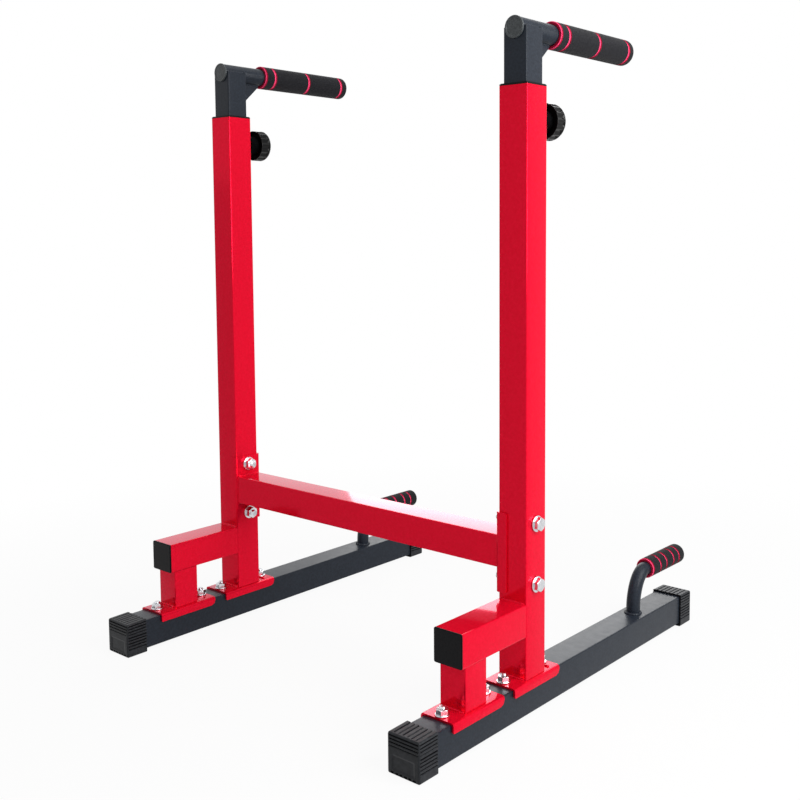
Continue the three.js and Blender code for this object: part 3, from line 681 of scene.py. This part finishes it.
def bar_plug(side):
    """The dished plug in the handle tube's front end, looking to -Y."""
    low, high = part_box(f"{side}_handle_bar_plug")
    centre = middle(low, high)
    radius = (high.x - low.x) / 2
    length = high.y - low.y
    body_radius = radius - HANDLE_BAR_WALL - BAR_GAP
    brim = radius + PLUG_LIP
    rim = brim - PLUG_RIM
    seat = PLUG_BODY + BAR_GAP
    profile = [(PLUG_TAIL_SHARE * body_radius, 0), (body_radius, 0), (body_radius, seat), (brim, seat)]
    profile += rounded(brim, length, PLUG_ROUND, LIP_STEPS)
    profile += [(rim - inset * PLUG_DISH, length - depth * PLUG_DISH) for inset, depth in PLUG_SLOPE_SHARES]
    profile += [(reach * rim, length - depth * PLUG_DISH) for reach, depth in PLUG_FLOOR_SHARES]
    shells = Shells(Vector((centre.x, high.y, centre.z)), -Y_AXIS)
    shells.lathe(profile)
    made = shells.build(f"{side}_handle_end_plug", f"{side}_handle", "plug_plastic", [BAR_PLUG_PLASTIC])
    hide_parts(f"{side}_handle_bar_plug")


def push_up_bar(side):
    """The bent tube: up from its foot, a quarter bend to +Y, and straight into the foam."""
    low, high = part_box(f"{side}_push_up_bar")
    centre = middle(low, high)
    foot_y = low.y + PUSH_UP_RADIUS
    axis_z = high.z - PUSH_UP_RADIUS
    turn_z = axis_z - PUSH_UP_BEND_RISE
    route = [(Vector((centre.x, foot_y, low.z)), 0.0)]
    for i in range(BEND_STEPS + 1):
        turn = i / BEND_STEPS * math.pi / 2
        run = PUSH_UP_BEND_RUN * math.sin(turn)
        rise = PUSH_UP_BEND_RISE * math.cos(turn)
        y = foot_y + PUSH_UP_BEND_RUN * (1 - math.cos(turn))
        z = turn_z + PUSH_UP_BEND_RISE * math.sin(turn)
        route.append((Vector((centre.x, y, z)), math.atan2(run, rise)))
    route.append((Vector((centre.x, high.y, axis_z)), math.pi / 2))
    bore = PUSH_UP_RADIUS - PUSH_UP_BAR_WALL
    outer = [tube_ring(point, turn, PUSH_UP_RADIUS) for point, turn in route]
    inner = [tube_ring(point, turn, bore) for point, turn in reversed(route)]
    shells = Shells()
    shells.stack(outer + inner, loop=True)
    made = shells.build(f"{side}_push_up_tube", "frame", "grey_paint")
    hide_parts(f"{side}_push_up_bar")


def tube_ring(point, turn, radius):
    """A ring about a line that leans from +Z towards +Y by turn."""
    across = Vector((0, math.cos(turn), -math.sin(turn)))
    ring = []
    for angle in angles(ROUND_SIDES):
        ring.append(point + radius * (math.cos(angle) * X_AXIS + math.sin(angle) * across))
    return ring


# Knob and fasteners


def smooth_step(value, low, high):
    """0 up to low, 1 from high on, and a soft slope between them."""
    share = min(max((value - low) / (high - low), 0.0), 1.0)
    return share * share * (3 - 2 * share)


def knob_ring(radius, height, flute):
    """The knob's outline at one height, with flutes of that depth."""
    ring = []
    for angle in angles(KNOB_SIDES):
        valley = (1 - math.cos(angle * KNOB_FLUTES)) / 2
        ring.append(polar(radius - flute * valley, angle, height))
    return ring


def lock_knob(side):
    """The knob: skirt over the nut, hollow underside, fluted grip, plain rim and dished outer face."""
    low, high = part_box(f"{side}_lock_knob")
    centre = middle(low, high)
    outer = (high.x - low.x) / 2
    length = high.y - low.y
    hollow = KNOB_HUB + KNOB_HOLLOW
    profile = [
        (KNOB_MIDDLE_SHARE * KNOB_HUB_RADIUS, KNOB_HUB),
        (KNOB_HUB_RADIUS, KNOB_HUB),
        (KNOB_HUB_RADIUS, hollow),
        (KNOB_HOLLOW_RADIUS, hollow),
        (KNOB_HOLLOW_RADIUS, KNOB_HUB + KNOB_HOLLOW_EDGE),
        (KNOB_HOLLOW_RADIUS + KNOB_HOLLOW_EDGE, KNOB_HUB),
    ]
    rings = [circle(radius, height, KNOB_SIDES) for radius, height in profile]
    dull = len(rings)
    front_edge = rounded(outer, KNOB_HUB, KNOB_FRONT_ROUND, EDGE_STEPS, rising=False)
    side_profile = list(reversed(front_edge))
    first = KNOB_HUB + KNOB_FRONT_ROUND
    last = length - KNOB_REAR_ROUND
    for i in range(1, KNOB_SIDE_STEPS):
        side_profile.append((outer, first + (last - first) * i / KNOB_SIDE_STEPS))
    side_profile += rounded(outer, length, KNOB_REAR_ROUND, KNOB_REAR_STEPS)
    flutes_end = length - KNOB_RIM
    for radius, height in side_profile:
        share = smooth_step(height, KNOB_HUB, KNOB_HUB + KNOB_FLUTE_RUN_OUT)
        share *= 1 - smooth_step(height, flutes_end - KNOB_FLUTE_RUN_OUT, flutes_end)
        rings.append(knob_ring(radius, height, KNOB_FLUTE_DEPTH * share))
    rings.append(circle(KNOB_DISH_RADIUS, length, KNOB_SIDES))
    for radius in (KNOB_DISH_RADIUS - KNOB_DISH, KNOB_DISH_MIDDLE_SHARE * KNOB_DISH_RADIUS):
        rings.append(circle(radius, length - KNOB_DISH, KNOB_SIDES))
    paints = [KNOB_DULL] * dull + [KNOB_GLOSSY] * (len(rings) - dull)
    shells = Shells(Vector((centre.x, low.y, centre.z)), Y_AXIS)
    shells.stack(rings, paints)
    inner = KNOB_HUB_RADIUS - KNOB_SKIRT_WALL
    root = KNOB_HUB + KNOB_SKIRT_OVERLAP
    skirt = [(inner, -KNOB_SKIRT), (KNOB_HUB_RADIUS, -KNOB_SKIRT), (KNOB_HUB_RADIUS, root), (inner, root)]
    shells.lathe(skirt, paints=[KNOB_DULL] * len(skirt), loop=True)
    materials = [GLOSS_PLASTIC, DULL_PLASTIC]
    made = shells.build(f"{side}_knob_moulding", f"{side}_knob", "knob_plastic", materials)
    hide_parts(f"{side}_lock_knob")


# Foot caps


def samples(first, last, step):
    """Evenly spread places from first to last, about a step apart."""
    count = max(1, round((last - first) / step))
    return [first + (last - first) * i / count for i in range(count + 1)]


def groove(place, centres):
    """1 in the middle of a groove, 0 outside them all."""
    nearest = min(abs(place - centre) for centre in centres)
    return max(0.0, 1 - nearest / (CAP_GROOVE_WIDTH / 2)) ** CAP_GROOVE_CURVE


def even_places(count, pitch):
    """Places at an even pitch, as many on each side of zero."""
    return [(i - (count - 1) / 2) * pitch for i in range(count)]


def cell(a, b):
    """The four corners of a grid's cell."""
    return ((a, b), (a + 1, b), (a + 1, b + 1), (a, b + 1))


class FootCap:
    """The surface of a foot cap, x across, y in from its closed end and z up from its sole."""

    def __init__(self, size):
        self.half = size.x / 2
        self.length = size.y
        self.height = size.z
        self.xs = samples(-self.half, self.half, CAP_STEP)
        self.zs = samples(0, self.height, CAP_STEP)
        run_in = samples(0, CAP_RIBS_START, CAP_STEP)
        self.ys = [*run_in, *samples(CAP_RIBS_START, self.length, CAP_LONG_STEP)[1:]]
        self.points = []
        self.faces = []
        self.paints = []
        self.index = {}
        self.cuts = []
        highest = self.height - CAP_SIDE_FIRST
        self.side_places = [highest - CAP_SIDE_PITCH * i for i in range(CAP_SIDE_GROOVES)]
        self.end_places = self.side_places[:CAP_END_GROOVES]
        self.top_places = even_places(CAP_TOP_GROOVES, CAP_TOP_PITCH)
        self.notch_places = even_places(CAP_NOTCHES, CAP_NOTCH_PITCH)

    def placed(self, x, y, z):
        """Rounds the box's edges, then cuts the grooves, notches and panel into it."""
        core_x = min(max(x, CAP_ROUND - self.half), self.half - CAP_ROUND)
        core_z = min(max(z, CAP_ROUND), self.height - CAP_ROUND)
        core = Vector((core_x, max(y, CAP_ROUND), core_z))
        outward = Vector((x, y, z)) - core
        if outward.length > 0:
            outward.normalize()
        point = core + outward * CAP_ROUND
        run_in = smooth_step(y, CAP_PLAIN_EDGE - CAP_GROOVE_RUN_OUT, CAP_PLAIN_EDGE)
        cut = 0.0
        if z > 0 and abs(x) == self.half:
            cut = groove(point.z, self.side_places) * run_in * CAP_GROOVE_DEPTH
        if z == self.height:
            later = smooth_step(y, CAP_PLAIN_EDGE, CAP_RIBS_START)
            cut = max(cut, groove(point.x, self.top_places) * later * CAP_GROOVE_DEPTH)
        if y == 0:
            cut = max(cut, self.end_cut(point.x, point.z))
        self.cuts.append(cut)
        point -= outward * cut
        lowered = CAP_TAPER * (1 - point.y / self.length)
        point.z -= lowered * smooth_step(point.z, self.height / 2, self.height)
        return point

    def end_cut(self, x, z):
        """Depth of the grooves, panel and tread notches in the closed end."""
        edge = 1 - smooth_step(abs(x), self.half - CAP_PLAIN_EDGE, self.half - CAP_PLAIN_EDGE / 2)
        cut = groove(z, self.end_places) * edge * CAP_GROOVE_DEPTH
        inside = 1 - smooth_step(abs(x), CAP_PANEL_HALF - CAP_PANEL_SLOPE, CAP_PANEL_HALF)
        inside *= smooth_step(z, CAP_PANEL_LOW, CAP_PANEL_LOW + CAP_PANEL_SLOPE)
        inside *= 1 - smooth_step(z, CAP_PANEL_HIGH - CAP_PANEL_SLOPE, CAP_PANEL_HIGH)
        cut = max(cut, inside * CAP_PANEL_DEPTH)
        off = min(abs(x - place) for place in self.notch_places)
        if off < CAP_NOTCH_WIDTH / 2 and CAP_NOTCH_LOW <= z < CAP_NOTCH_HIGH:
            cut = CAP_NOTCH_DEPTH
        return cut

    def vertex(self, i, j, k):
        """Number of the point at the grid's x, y and z places."""
        if (i, j, k) not in self.index:
            self.index[(i, j, k)] = len(self.points)
            self.points.append(self.placed(self.xs[i], self.ys[j], self.zs[k]))
        return self.index[(i, j, k)]

    def quad(self, corners, paint=None):
        """A face, painted darker as shade where its corners lie deep in a groove or notch."""
        corners = tuple(corners)
        self.faces.append(corners)
        if paint is None:
            mean = sum(self.cuts[corner] for corner in corners) / len(corners)
            paint = CAP_SHADE if mean > CAP_SHADE_DEPTH else CAP_PALE
        self.paints.append(paint)

    def build(self):
        """The outer faces, the mouth's rim, and the socket that holds the tube."""
        last_x, last_y, last_z = (len(places) - 1 for places in (self.xs, self.ys, self.zs))
        for i in range(last_x):
            for k in range(last_z):
                self.quad(self.vertex(a, 0, b) for a, b in cell(i, k))
        for j in range(last_y):
            for k in range(last_z):
                self.quad(self.vertex(last_x, a, b) for a, b in cell(j, k))
                self.quad(self.vertex(0, a, b) for a, b in reversed(cell(j, k)))
            for i in range(last_x):
                self.quad(self.vertex(a, b, last_z) for a, b in cell(i, j))
                self.quad(self.vertex(a, b, 0) for a, b in reversed(cell(i, j)))
        rim = [(i, 0) for i in range(last_x)]
        rim += [(last_x, k) for k in range(last_z)]
        rim += [(i, last_z) for i in range(last_x, 0, -1)]
        rim += [(0, k) for k in range(last_z, 0, -1)]
        outer = [self.vertex(i, last_y, k) for i, k in rim]
        near = self.socket_ring(rim, self.length)
        deep = self.socket_ring(rim, CAP_END_WALL)
        count = len(rim)
        # The mouth's rim and the socket are painted darker as shade.
        for a, b in ((outer, near), (near, deep)):
            for n in range(count):
                m = (n + 1) % count
                self.quad((a[n], a[m], b[m], b[n]), CAP_SHADE)
        self.quad(deep, CAP_SHADE)

    def socket_ring(self, rim, y):
        """Points round the socket, one for each point of the rim."""
        ring = []
        flat = CAP_SOCKET_HALF - CAP_SOCKET_CORNER
        for i, k in rim:
            x = self.xs[i] / self.half * CAP_SOCKET_HALF
            z = (self.zs[k] / self.height - 0.5) * 2 * CAP_SOCKET_HALF
            core = Vector((min(max(x, -flat), flat), 0, min(max(z, -flat), flat)))
            outward = (Vector((x, 0, z)) - core).normalized()
            point = core + outward * CAP_SOCKET_CORNER
            ring.append(len(self.points))
            self.points.append(Vector((point.x, y, point.z + CAP_TUBE_MIDDLE)))
        return ring


def foot_cap(side, end):
    """A ribbed rubber cap on one end of a base tube."""
    node = f"{side}_{end}_foot_cap"
    low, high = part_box(node)
    cap = FootCap(high - low)
    cap.build()
    front = end == "front"
    closed_end = Vector((middle(low, high).x, low.y if front else high.y, low.z))
    place = Matrix.Translation(closed_end) @ Matrix.Rotation(0 if front else math.pi, 4, "Z")
    shells = Shells()
    shells.points = [place @ point for point in cap.points]
    shells.faces = cap.faces
    shells.paints = cap.paints
    made = shells.build(f"{node}_moulding", "frame", "foot_rubber", [RUBBER, SHADE_PAINTED_RUBBER])
    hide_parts(node)


def washer(shells, radius, bottom, thickness):
    """A washer with rounded edges."""
    top = bottom + thickness
    inner = WASHER_BORE_SHARE * radius
    lower = rounded(radius, bottom, WASHER_ROUND, EDGE_STEPS, rising=False)
    upper = rounded(radius, top, WASHER_ROUND, EDGE_STEPS)
    shells.lathe([(inner, bottom), *reversed(lower), *upper, (inner, top)])


def hexagon_ring(flats, height, limit):
    """A hexagon's outline cut by a circle of radius limit."""
    ring = []
    sector = 2 * math.pi / HEX_SIDES
    for angle in angles(HEX_SAMPLES):
        radius = flats / 2 / math.cos((angle % sector) - sector / 2)
        ring.append(polar(min(radius, limit), angle, height))
    return ring


def hexagon(shells, flats, bottom, height, both_ends=False):
    """A hexagon nut or head with chamfered corners."""
    corner = flats / math.sqrt(3)
    face = flats / 2 * HEX_FACE_SHARE
    chamfer = (corner - face) / CHAMFER_SLOPE
    cut = corner - face
    shares = [i / CHAMFER_STEPS for i in range(CHAMFER_STEPS + 1)]
    rings = [hexagon_ring(flats, bottom, corner)]
    if both_ends:
        rings = [hexagon_ring(flats, bottom + chamfer * share, face + cut * share) for share in shares]
    for share in shares:
        rings.append(hexagon_ring(flats, bottom + height - chamfer * (1 - share), corner - cut * share))
    shells.stack(rings)


def thread(shells, radius, bottom, top, pitch):
    """A threaded shank with a chamfered end at the top."""
    depth = pitch * THREAD_DEPTH_SHARE
    rows = max(2, math.ceil((top - bottom) / pitch * THREAD_STEPS))
    rings = []
    for i in range(rows + 1):
        height = bottom + (top - bottom) * i / rows
        limit = radius - max(0.0, depth - (top - height))
        ring = []
        for j in range(THREAD_SIDES):
            turn = j / THREAD_SIDES
            phase = (height / pitch - turn) % 1
            cut = depth * (1 - abs(2 * phase - 1))
            ring.append(polar(min(radius - cut, limit), 2 * math.pi * turn, height))
        rings.append(ring)
    shells.stack(rings)


def base_bolt(node):
    """Washer, nut and bolt end on the saddle, the shank, and a domed head under the base tube."""
    low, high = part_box(node)
    centre = middle(low, high)
    end = high.z - low.z
    nut_top = end - BASE_BOLT_END
    washer_top = nut_top - BASE_NUT_HEIGHT
    washer_bottom = washer_top - BASE_WASHER
    radius = (high.y - low.y) / 2
    shells = Shells(Vector((centre.x, centre.y, low.z)))
    dome = []
    for i in range(BASE_HEAD_STEPS + 1):
        share = BASE_HEAD_FIRST_SHARE + (1 - BASE_HEAD_FIRST_SHARE) * i / BASE_HEAD_STEPS
        turn = share * math.pi / 2
        dome.append((BASE_HEAD_RADIUS * math.sin(turn), BASE_HEAD_HEIGHT * (1 - math.cos(turn))))
    shells.lathe([*dome, (BASE_BOLT_RADIUS, BASE_HEAD_HEIGHT), (BASE_BOLT_RADIUS, nut_top)])
    washer(shells, radius, washer_bottom, BASE_WASHER)
    hexagon(shells, BASE_NUT_FLATS, washer_top, BASE_NUT_HEIGHT, both_ends=True)
    thread(shells, BASE_BOLT_RADIUS, nut_top - BASE_THREAD_PITCH, end, BASE_THREAD_PITCH)
    made = shells.build(f"{node}_set", "frame", "zinc_steel")
    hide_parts(node)


def cross_bolt(side, level):
    """Head and washer on the upright's outer face, and the shank through to the nut."""
    node = f"{side}_{level}_cross_bolt"
    low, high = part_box(node)
    centre = middle(low, high)
    inward = INWARD[side]
    outer = Vector((high.x if side == "right" else low.x, centre.y, centre.z))
    length = high.x - low.x
    radius = (high.y - low.y) / 2
    shells = Shells(outer + inward * length, -inward)
    washer_bottom = length - CROSS_HEAD_HEIGHT - CROSS_WASHER
    shells.lathe([(CROSS_BOLT_RADIUS, CROSS_SHANK_START), (CROSS_BOLT_RADIUS, washer_bottom)])
    washer(shells, radius, washer_bottom, CROSS_WASHER)
    hexagon(shells, CROSS_HEX_FLATS, length - CROSS_HEAD_HEIGHT, CROSS_HEAD_HEIGHT)
    made = shells.build(f"{side}_{level}_cross_bolt_head", "frame", "zinc_steel")
    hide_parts(node)
    threaded = Shells(outer + inward * (length / 2), inward)
    thread(threaded, CROSS_BOLT_RADIUS, 0, length / 2, CROSS_THREAD_PITCH)
    threaded.build(f"{side}_{level}_cross_bolt_thread", "frame", "zinc_steel")


def cross_nut(side, level):
    """Washer and nut on the bracket."""
    node = f"{side}_{level}_cross_nut"
    low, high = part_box(node)
    centre = middle(low, high)
    inward = INWARD[side]
    seat = Vector((high.x if side == "right" else low.x, centre.y, centre.z))
    radius = (high.y - low.y) / 2
    shells = Shells(seat, inward)
    washer(shells, radius, 0, CROSS_WASHER)
    hexagon(shells, CROSS_HEX_FLATS, CROSS_WASHER, CROSS_NUT_HEIGHT, both_ends=True)
    made = shells.build(f"{side}_{level}_cross_nut_set", "frame", "zinc_steel")
    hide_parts(node)


def lock_screw(side):
    """The screw: a plain chamfered nose, and a thread that ends inside the knob."""
    node = f"{side}_lock_screw"
    low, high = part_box(node)
    centre = middle(low, high)
    length = high.y - low.y
    shells = Shells(Vector((centre.x, high.y, centre.z)), -Y_AXIS)
    thread(shells, LOCK_SCREW_RADIUS, 0, length - LOCK_NOSE, LOCK_THREAD_PITCH)
    nose = LOCK_NOSE_RADIUS
    profile = [(nose, length - LOCK_NOSE - LOCK_THREAD_PITCH), (nose, length - LOCK_NOSE_CHAMFER)]
    shells.lathe([*profile, (nose - LOCK_NOSE_CHAMFER, length)])
    made = shells.build(f"{node}_steel", f"{side}_lock_screw", "zinc_steel")
    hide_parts(node)


# Weld beads


def resampled(points, closed):
    """Points at an even step along a path."""
    corners = [Vector(point) for point in points]
    if closed:
        corners.append(corners[0])
    spans = list(zip(corners, corners[1:]))
    total = sum((b - a).length for a, b in spans)
    count = max(WELD_FEWEST, round(total / WELD_STEP))
    places = [total * i / count for i in range(count if closed else count + 1)]
    made = []
    for rest in places:
        for a, b in spans:
            span = (b - a).length
            if rest <= span:
                made.append(a.lerp(b, rest / span))
                break
            rest -= span
    return made


def weld_bead(name, body, slot, points, radius=WELD_RADIUS, closed=False):
    """A rippled bead of weld metal along a path, under the paint."""
    line = resampled(points, closed)
    count = len(line)
    seed = random.Random(name).random() * WELD_SEED_SPAN
    rings = []
    for i, point in enumerate(line):
        before = line[i - 1] if closed or i > 0 else line[i]
        after = line[(i + 1) % count] if closed or i < count - 1 else line[i]
        along = (after - before).normalized()
        side = along.orthogonal().normalized()
        up = along.cross(side)
        if abs(along.z) < STEEP_SHARE:
            side = along.cross(Z_AXIS).normalized()
            up = side.cross(along)
        ripple = 0.5 + 0.5 * math.sin(2 * math.pi * i * WELD_STEP / WELD_RIPPLE)
        lump = noise.noise(Vector((i * WELD_LUMP_STEP, seed, 0)))
        reach = radius * (WELD_SHARE + WELD_RIPPLE_SHARE * ripple + WELD_LUMP_SHARE * lump)
        if not closed:
            reach *= min(1.0, WELD_END_SHARE + WELD_GROWTH_SHARE * min(i, count - 1 - i))
        ring = []
        for angle in angles(WELD_SIDES):
            ring.append(point + reach * (math.cos(angle) * side + math.sin(angle) * up))
        rings.append(ring)
    shells = Shells()
    shells.stack(rings, loop=closed)
    shells.build(name, body, slot)


def across_bead(name, low_x, high_x, y, z, radius=WELD_RADIUS):
    """A bead along X on the red frame."""
    weld_bead(name, "frame", "red_paint", [(low_x, y, z), (high_x, y, z)], radius)


def arc_points(centre, radius, first, last, steps=ARC_STEPS):
    """Points of an arc in the XZ plane, by angles from +X towards +Z."""
    points = []
    for i in range(steps + 1):
        angle = math.radians(first + (last - first) * i / steps)
        points.append(centre + Vector((radius * math.cos(angle), 0, radius * math.sin(angle))))
    return points


def foot_welds(side, node):
    """Beads along the front and rear edges where a square tube stands on its saddle."""
    low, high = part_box(f"{side}_{node}")
    first = low.x + TUBE_WELD_INSET
    last = high.x - TUBE_WELD_INSET
    for end, y in (("front", low.y), ("rear", high.y)):
        across_bead(f"{side}_{node}_{end}_weld", first, last, y, low.z + FOOT_WELD_RISE)


def brace_welds(side):
    """Beads where the brace meets the upright and the front post."""
    low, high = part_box(f"{side}_brace_tube")
    first = low.x + TUBE_WELD_INSET
    last = high.x - TUBE_WELD_INSET
    for level, z in (("upper", high.z), ("lower", low.z)):
        across_bead(f"{side}_brace_{level}_weld", first, last, high.y + BRACE_WELD_OFFSET, z)
    low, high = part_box(f"{side}_front_post")
    first = low.x + TUBE_WELD_INSET
    last = high.x - TUBE_WELD_INSET
    for end, y in (("front", low.y), ("rear", high.y)):
        across_bead(f"{side}_post_top_{end}_weld", first, last, y, high.z, WELD_THIN)


def crossbar_welds(side):
    """Beads round the crossbar's end, on the bracket's web."""
    low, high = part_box("crossbar_tube")
    x = high.x if side == "right" else low.x
    inset = CROSSBAR_WELD_INSET
    for level, z in (("upper", high.z), ("lower", low.z)):
        points = [(x, low.y + inset, z), (x, high.y - inset, z)]
        weld_bead(f"{side}_crossbar_{level}_weld", "frame", "red_paint", points)
    for end, y in (("front", low.y), ("rear", high.y)):
        points = [(x, y, low.z + inset), (x, y, high.z - inset)]
        weld_bead(f"{side}_crossbar_{end}_weld", "frame", "red_paint", points, WELD_THIN)


def push_up_welds(side):
    """The lumpy ring at a push-up bar's foot."""
    low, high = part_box(f"{side}_push_up_bar")
    centre = Vector((middle(low, high).x, low.y + PUSH_UP_RADIUS, low.z))
    points = [centre + point for point in circle(PUSH_UP_RADIUS + PUSH_UP_WELD_OFFSET, 0)]
    weld_bead(f"{side}_push_up_foot_weld", "frame", "grey_paint", points, WELD_HEAVY, closed=True)


def handle_welds(side):
    """Beads where the handle tube lies in the post's notch and where the gusset joins both."""
    body = f"{side}_handle"
    low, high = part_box(f"{side}_handle_post")
    bar_low, bar_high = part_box(f"{side}_handle_bar")
    axis = Vector((middle(low, high).x, high.y, middle(bar_low, bar_high).z))
    radius = (bar_high.x - bar_low.x) / 2
    reach = radius + NOTCH_WELD_OFFSET
    z = high.z - NOTCH_WELD_DROP
    for way, x in (("left", axis.x - reach), ("right", axis.x + reach)):
        notch = [(x, low.y + POST_WELD_FRONT, z), (x, high.y - POST_WELD_REAR, z)]
        weld_bead(f"{side}_notch_{way}_weld", body, "grey_paint", notch, NOTCH_WELD_RADIUS)
    rear = arc_points(axis, radius + BAR_REAR_WELD_OFFSET, BAR_REAR_WELD_FIRST, BAR_REAR_WELD_LAST)
    weld_bead(f"{side}_bar_rear_weld", body, "grey_paint", rear, BAR_REAR_WELD_RADIUS)
    low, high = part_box(f"{side}_handle_gusset")
    for way, x in (("left", low.x), ("right", high.x)):
        under = [(x, low.y + POST_WELD_FRONT, high.z), (x, high.y - POST_WELD_REAR, high.z)]
        weld_bead(f"{side}_gusset_{way}_upper_weld", body, "grey_paint", under, WELD_THIN)
        down = [(x, low.y, high.z - POST_WELD_FRONT), (x, low.y, low.z + POST_WELD_REAR)]
        weld_bead(f"{side}_gusset_{way}_post_weld", body, "grey_paint", down, WELD_THIN)


def lock_nut_weld(side):
    """The ring round the nut on the upright's rear face, one tube's width behind the brace's end."""
    low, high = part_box(f"{side}_upright_tube")
    brace_low, brace_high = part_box(f"{side}_brace_tube")
    knob_low, knob_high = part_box(f"{side}_lock_knob")
    face = brace_high.y + (brace_high.x - brace_low.x) + LOCK_NUT_WELD_OFFSET
    centre = Vector((middle(low, high).x, face, middle(knob_low, knob_high).z))
    points = arc_points(centre, LOCK_NUT_WELD_REACH, 0, LOCK_NUT_WELD_LAST, LOCK_NUT_WELD_STEPS)
    weld_bead(f"{side}_lock_nut_weld", "frame", "red_paint", points, LOCK_NUT_WELD_RADIUS, closed=True)


# Studio


def make_camera():
    """The photograph's viewpoint."""
    flat_back = Vector((math.sin(CAMERA_TURN), -math.cos(CAMERA_TURN), 0))
    back = flat_back * math.cos(CAMERA_DIP) + Z_AXIS * math.sin(CAMERA_DIP)
    right = Vector((math.cos(CAMERA_TURN), math.sin(CAMERA_TURN), 0))
    up = back.cross(right)
    across = right * math.cos(CAMERA_ROLL) + up * math.sin(CAMERA_ROLL)
    upward = up * math.cos(CAMERA_ROLL) - right * math.sin(CAMERA_ROLL)
    data = bpy.data.cameras.new("camera")
    data.sensor_width = CAMERA_SENSOR
    data.lens = CAMERA_LENS
    data.shift_x = CAMERA_SHIFT_X
    data.shift_y = CAMERA_SHIFT_Y
    made = bpy.data.objects.new("camera", data)
    turn = Matrix((across, upward, back)).transposed().to_4x4()
    made.matrix_world = Matrix.Translation(CAMERA_PLACE) @ turn
    bpy.context.scene.collection.objects.link(made)
    bpy.context.scene.camera = made


def add_math(tree, operation, first, second):
    """The result of a sum on two values."""
    node = tree.nodes.new("ShaderNodeMath")
    node.operation = operation
    tree.links.new(first, node.inputs[0])
    tree.links.new(second, node.inputs[1])
    return node.outputs[0]


def seen_directly(tree):
    """1 for rays that show a backdrop as itself: camera, glossy and transmission rays."""
    path = tree.nodes.new("ShaderNodeLightPath")
    seen = path.outputs["Is Camera Ray"]
    for ray in ("Is Glossy Ray", "Is Transmission Ray"):
        seen = add_math(tree, "MAXIMUM", seen, path.outputs[ray])
    return seen


def make_floor():
    """A pale floor that shows nearly white and keeps a soft shadow."""
    corners = [(-1, -1), (1, -1), (1, 1), (-1, 1)]
    mesh = bpy.data.meshes.new("floor")
    mesh.from_pydata([(x * FLOOR_HALF, y * FLOOR_HALF, 0) for x, y in corners], [], [(0, 1, 2, 3)])
    made = bpy.data.objects.new("floor", mesh)
    bpy.context.scene.collection.objects.link(made)
    material = bpy.data.materials.new("pale_floor")
    material.use_nodes = True
    tree = material.node_tree
    tree.nodes.clear()
    output = tree.nodes.new("ShaderNodeOutputMaterial")
    matt = tree.nodes.new("ShaderNodeBsdfDiffuse")
    matt.inputs["Color"].default_value = (FLOOR_SHADE, FLOOR_SHADE, FLOOR_SHADE, 1)
    glow = tree.nodes.new("ShaderNodeEmission")
    mix = tree.nodes.new("ShaderNodeMixShader")
    place = tree.nodes.new("ShaderNodeTexCoord")
    distance = tree.nodes.new("ShaderNodeVectorMath")
    distance.operation = "LENGTH"
    tree.links.new(place.outputs["Object"], distance.inputs[0])
    near_and_far = (FLOOR_NEAR, FLOOR_FAR)
    glow_share = add_map(tree, distance.outputs["Value"], near_and_far, (FLOOR_GLOW_NEAR, FLOOR_GLOW_FAR))
    share = add_math(tree, "MULTIPLY", seen_directly(tree), glow_share)
    tree.links.new(share, mix.inputs["Fac"])
    tree.links.new(matt.outputs[0], mix.inputs[1])
    tree.links.new(glow.outputs[0], mix.inputs[2])
    tree.links.new(mix.outputs[0], output.inputs["Surface"])
    mesh.materials.append(material)


def make_world():
    """White where it is seen, and a softer fill where it lights."""
    world = bpy.data.worlds.new("studio")
    world.use_nodes = True
    bpy.context.scene.world = world
    tree = world.node_tree
    tree.nodes.clear()
    output = tree.nodes.new("ShaderNodeOutputWorld")
    background = tree.nodes.new("ShaderNodeBackground")
    background.inputs["Color"].default_value = (1, 1, 1, 1)
    strength = add_map(tree, seen_directly(tree), (0, 1), (WORLD_GLOW, 1))
    tree.links.new(strength, background.inputs["Strength"])
    tree.links.new(background.outputs[0], output.inputs["Surface"])


def area_lamp(name, place, target, size, power):
    """A square soft box."""
    data = bpy.data.lights.new(name, "AREA")
    data.size = size
    data.energy = power
    made = bpy.data.objects.new(name, data)
    made.location = place
    made.rotation_euler = (target - place).to_track_quat("-Z", "Y").to_euler()
    bpy.context.scene.collection.objects.link(made)


bpy.context.scene.view_settings.view_transform = "Standard"
make_camera()
make_world()
make_floor()
for lamp in LAMPS:
    area_lamp(*lamp)
dress_frame()

for side in SIDES:
    bar_low, bar_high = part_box(f"{side}_handle_bar")
    handle_bore = (bar_high.x - bar_low.x) / 2 + BAR_GAP
    foam_grip(side, "handle", HANDLE_RINGS, HANDLE_RING_WIDTH, HANDLE_FOAM_ROUND, handle_bore)
    push_up_bore = PUSH_UP_RADIUS + BAR_GAP
    foam_grip(side, "push_up", PUSH_UP_RINGS, PUSH_UP_RING_WIDTH, PUSH_UP_FOAM_ROUND, push_up_bore)
    handle_bar(side)
    bar_plug(side)
    push_up_bar(side)
    foot_cap(side, "front")
    foot_cap(side, "rear")
    lock_knob(side)
    lock_screw(side)
    for place in ("front", "upright"):
        for end in ("front", "rear"):
            base_bolt(f"{side}_{place}_saddle_{end}_bolt")
    for level in ("lower", "upper"):
        cross_bolt(side, level)
        cross_nut(side, level)
    foot_welds(side, "upright_tube")
    foot_welds(side, "front_post")
    brace_welds(side)
    crossbar_welds(side)
    push_up_welds(side)
    handle_welds(side)
    lock_nut_weld(side)
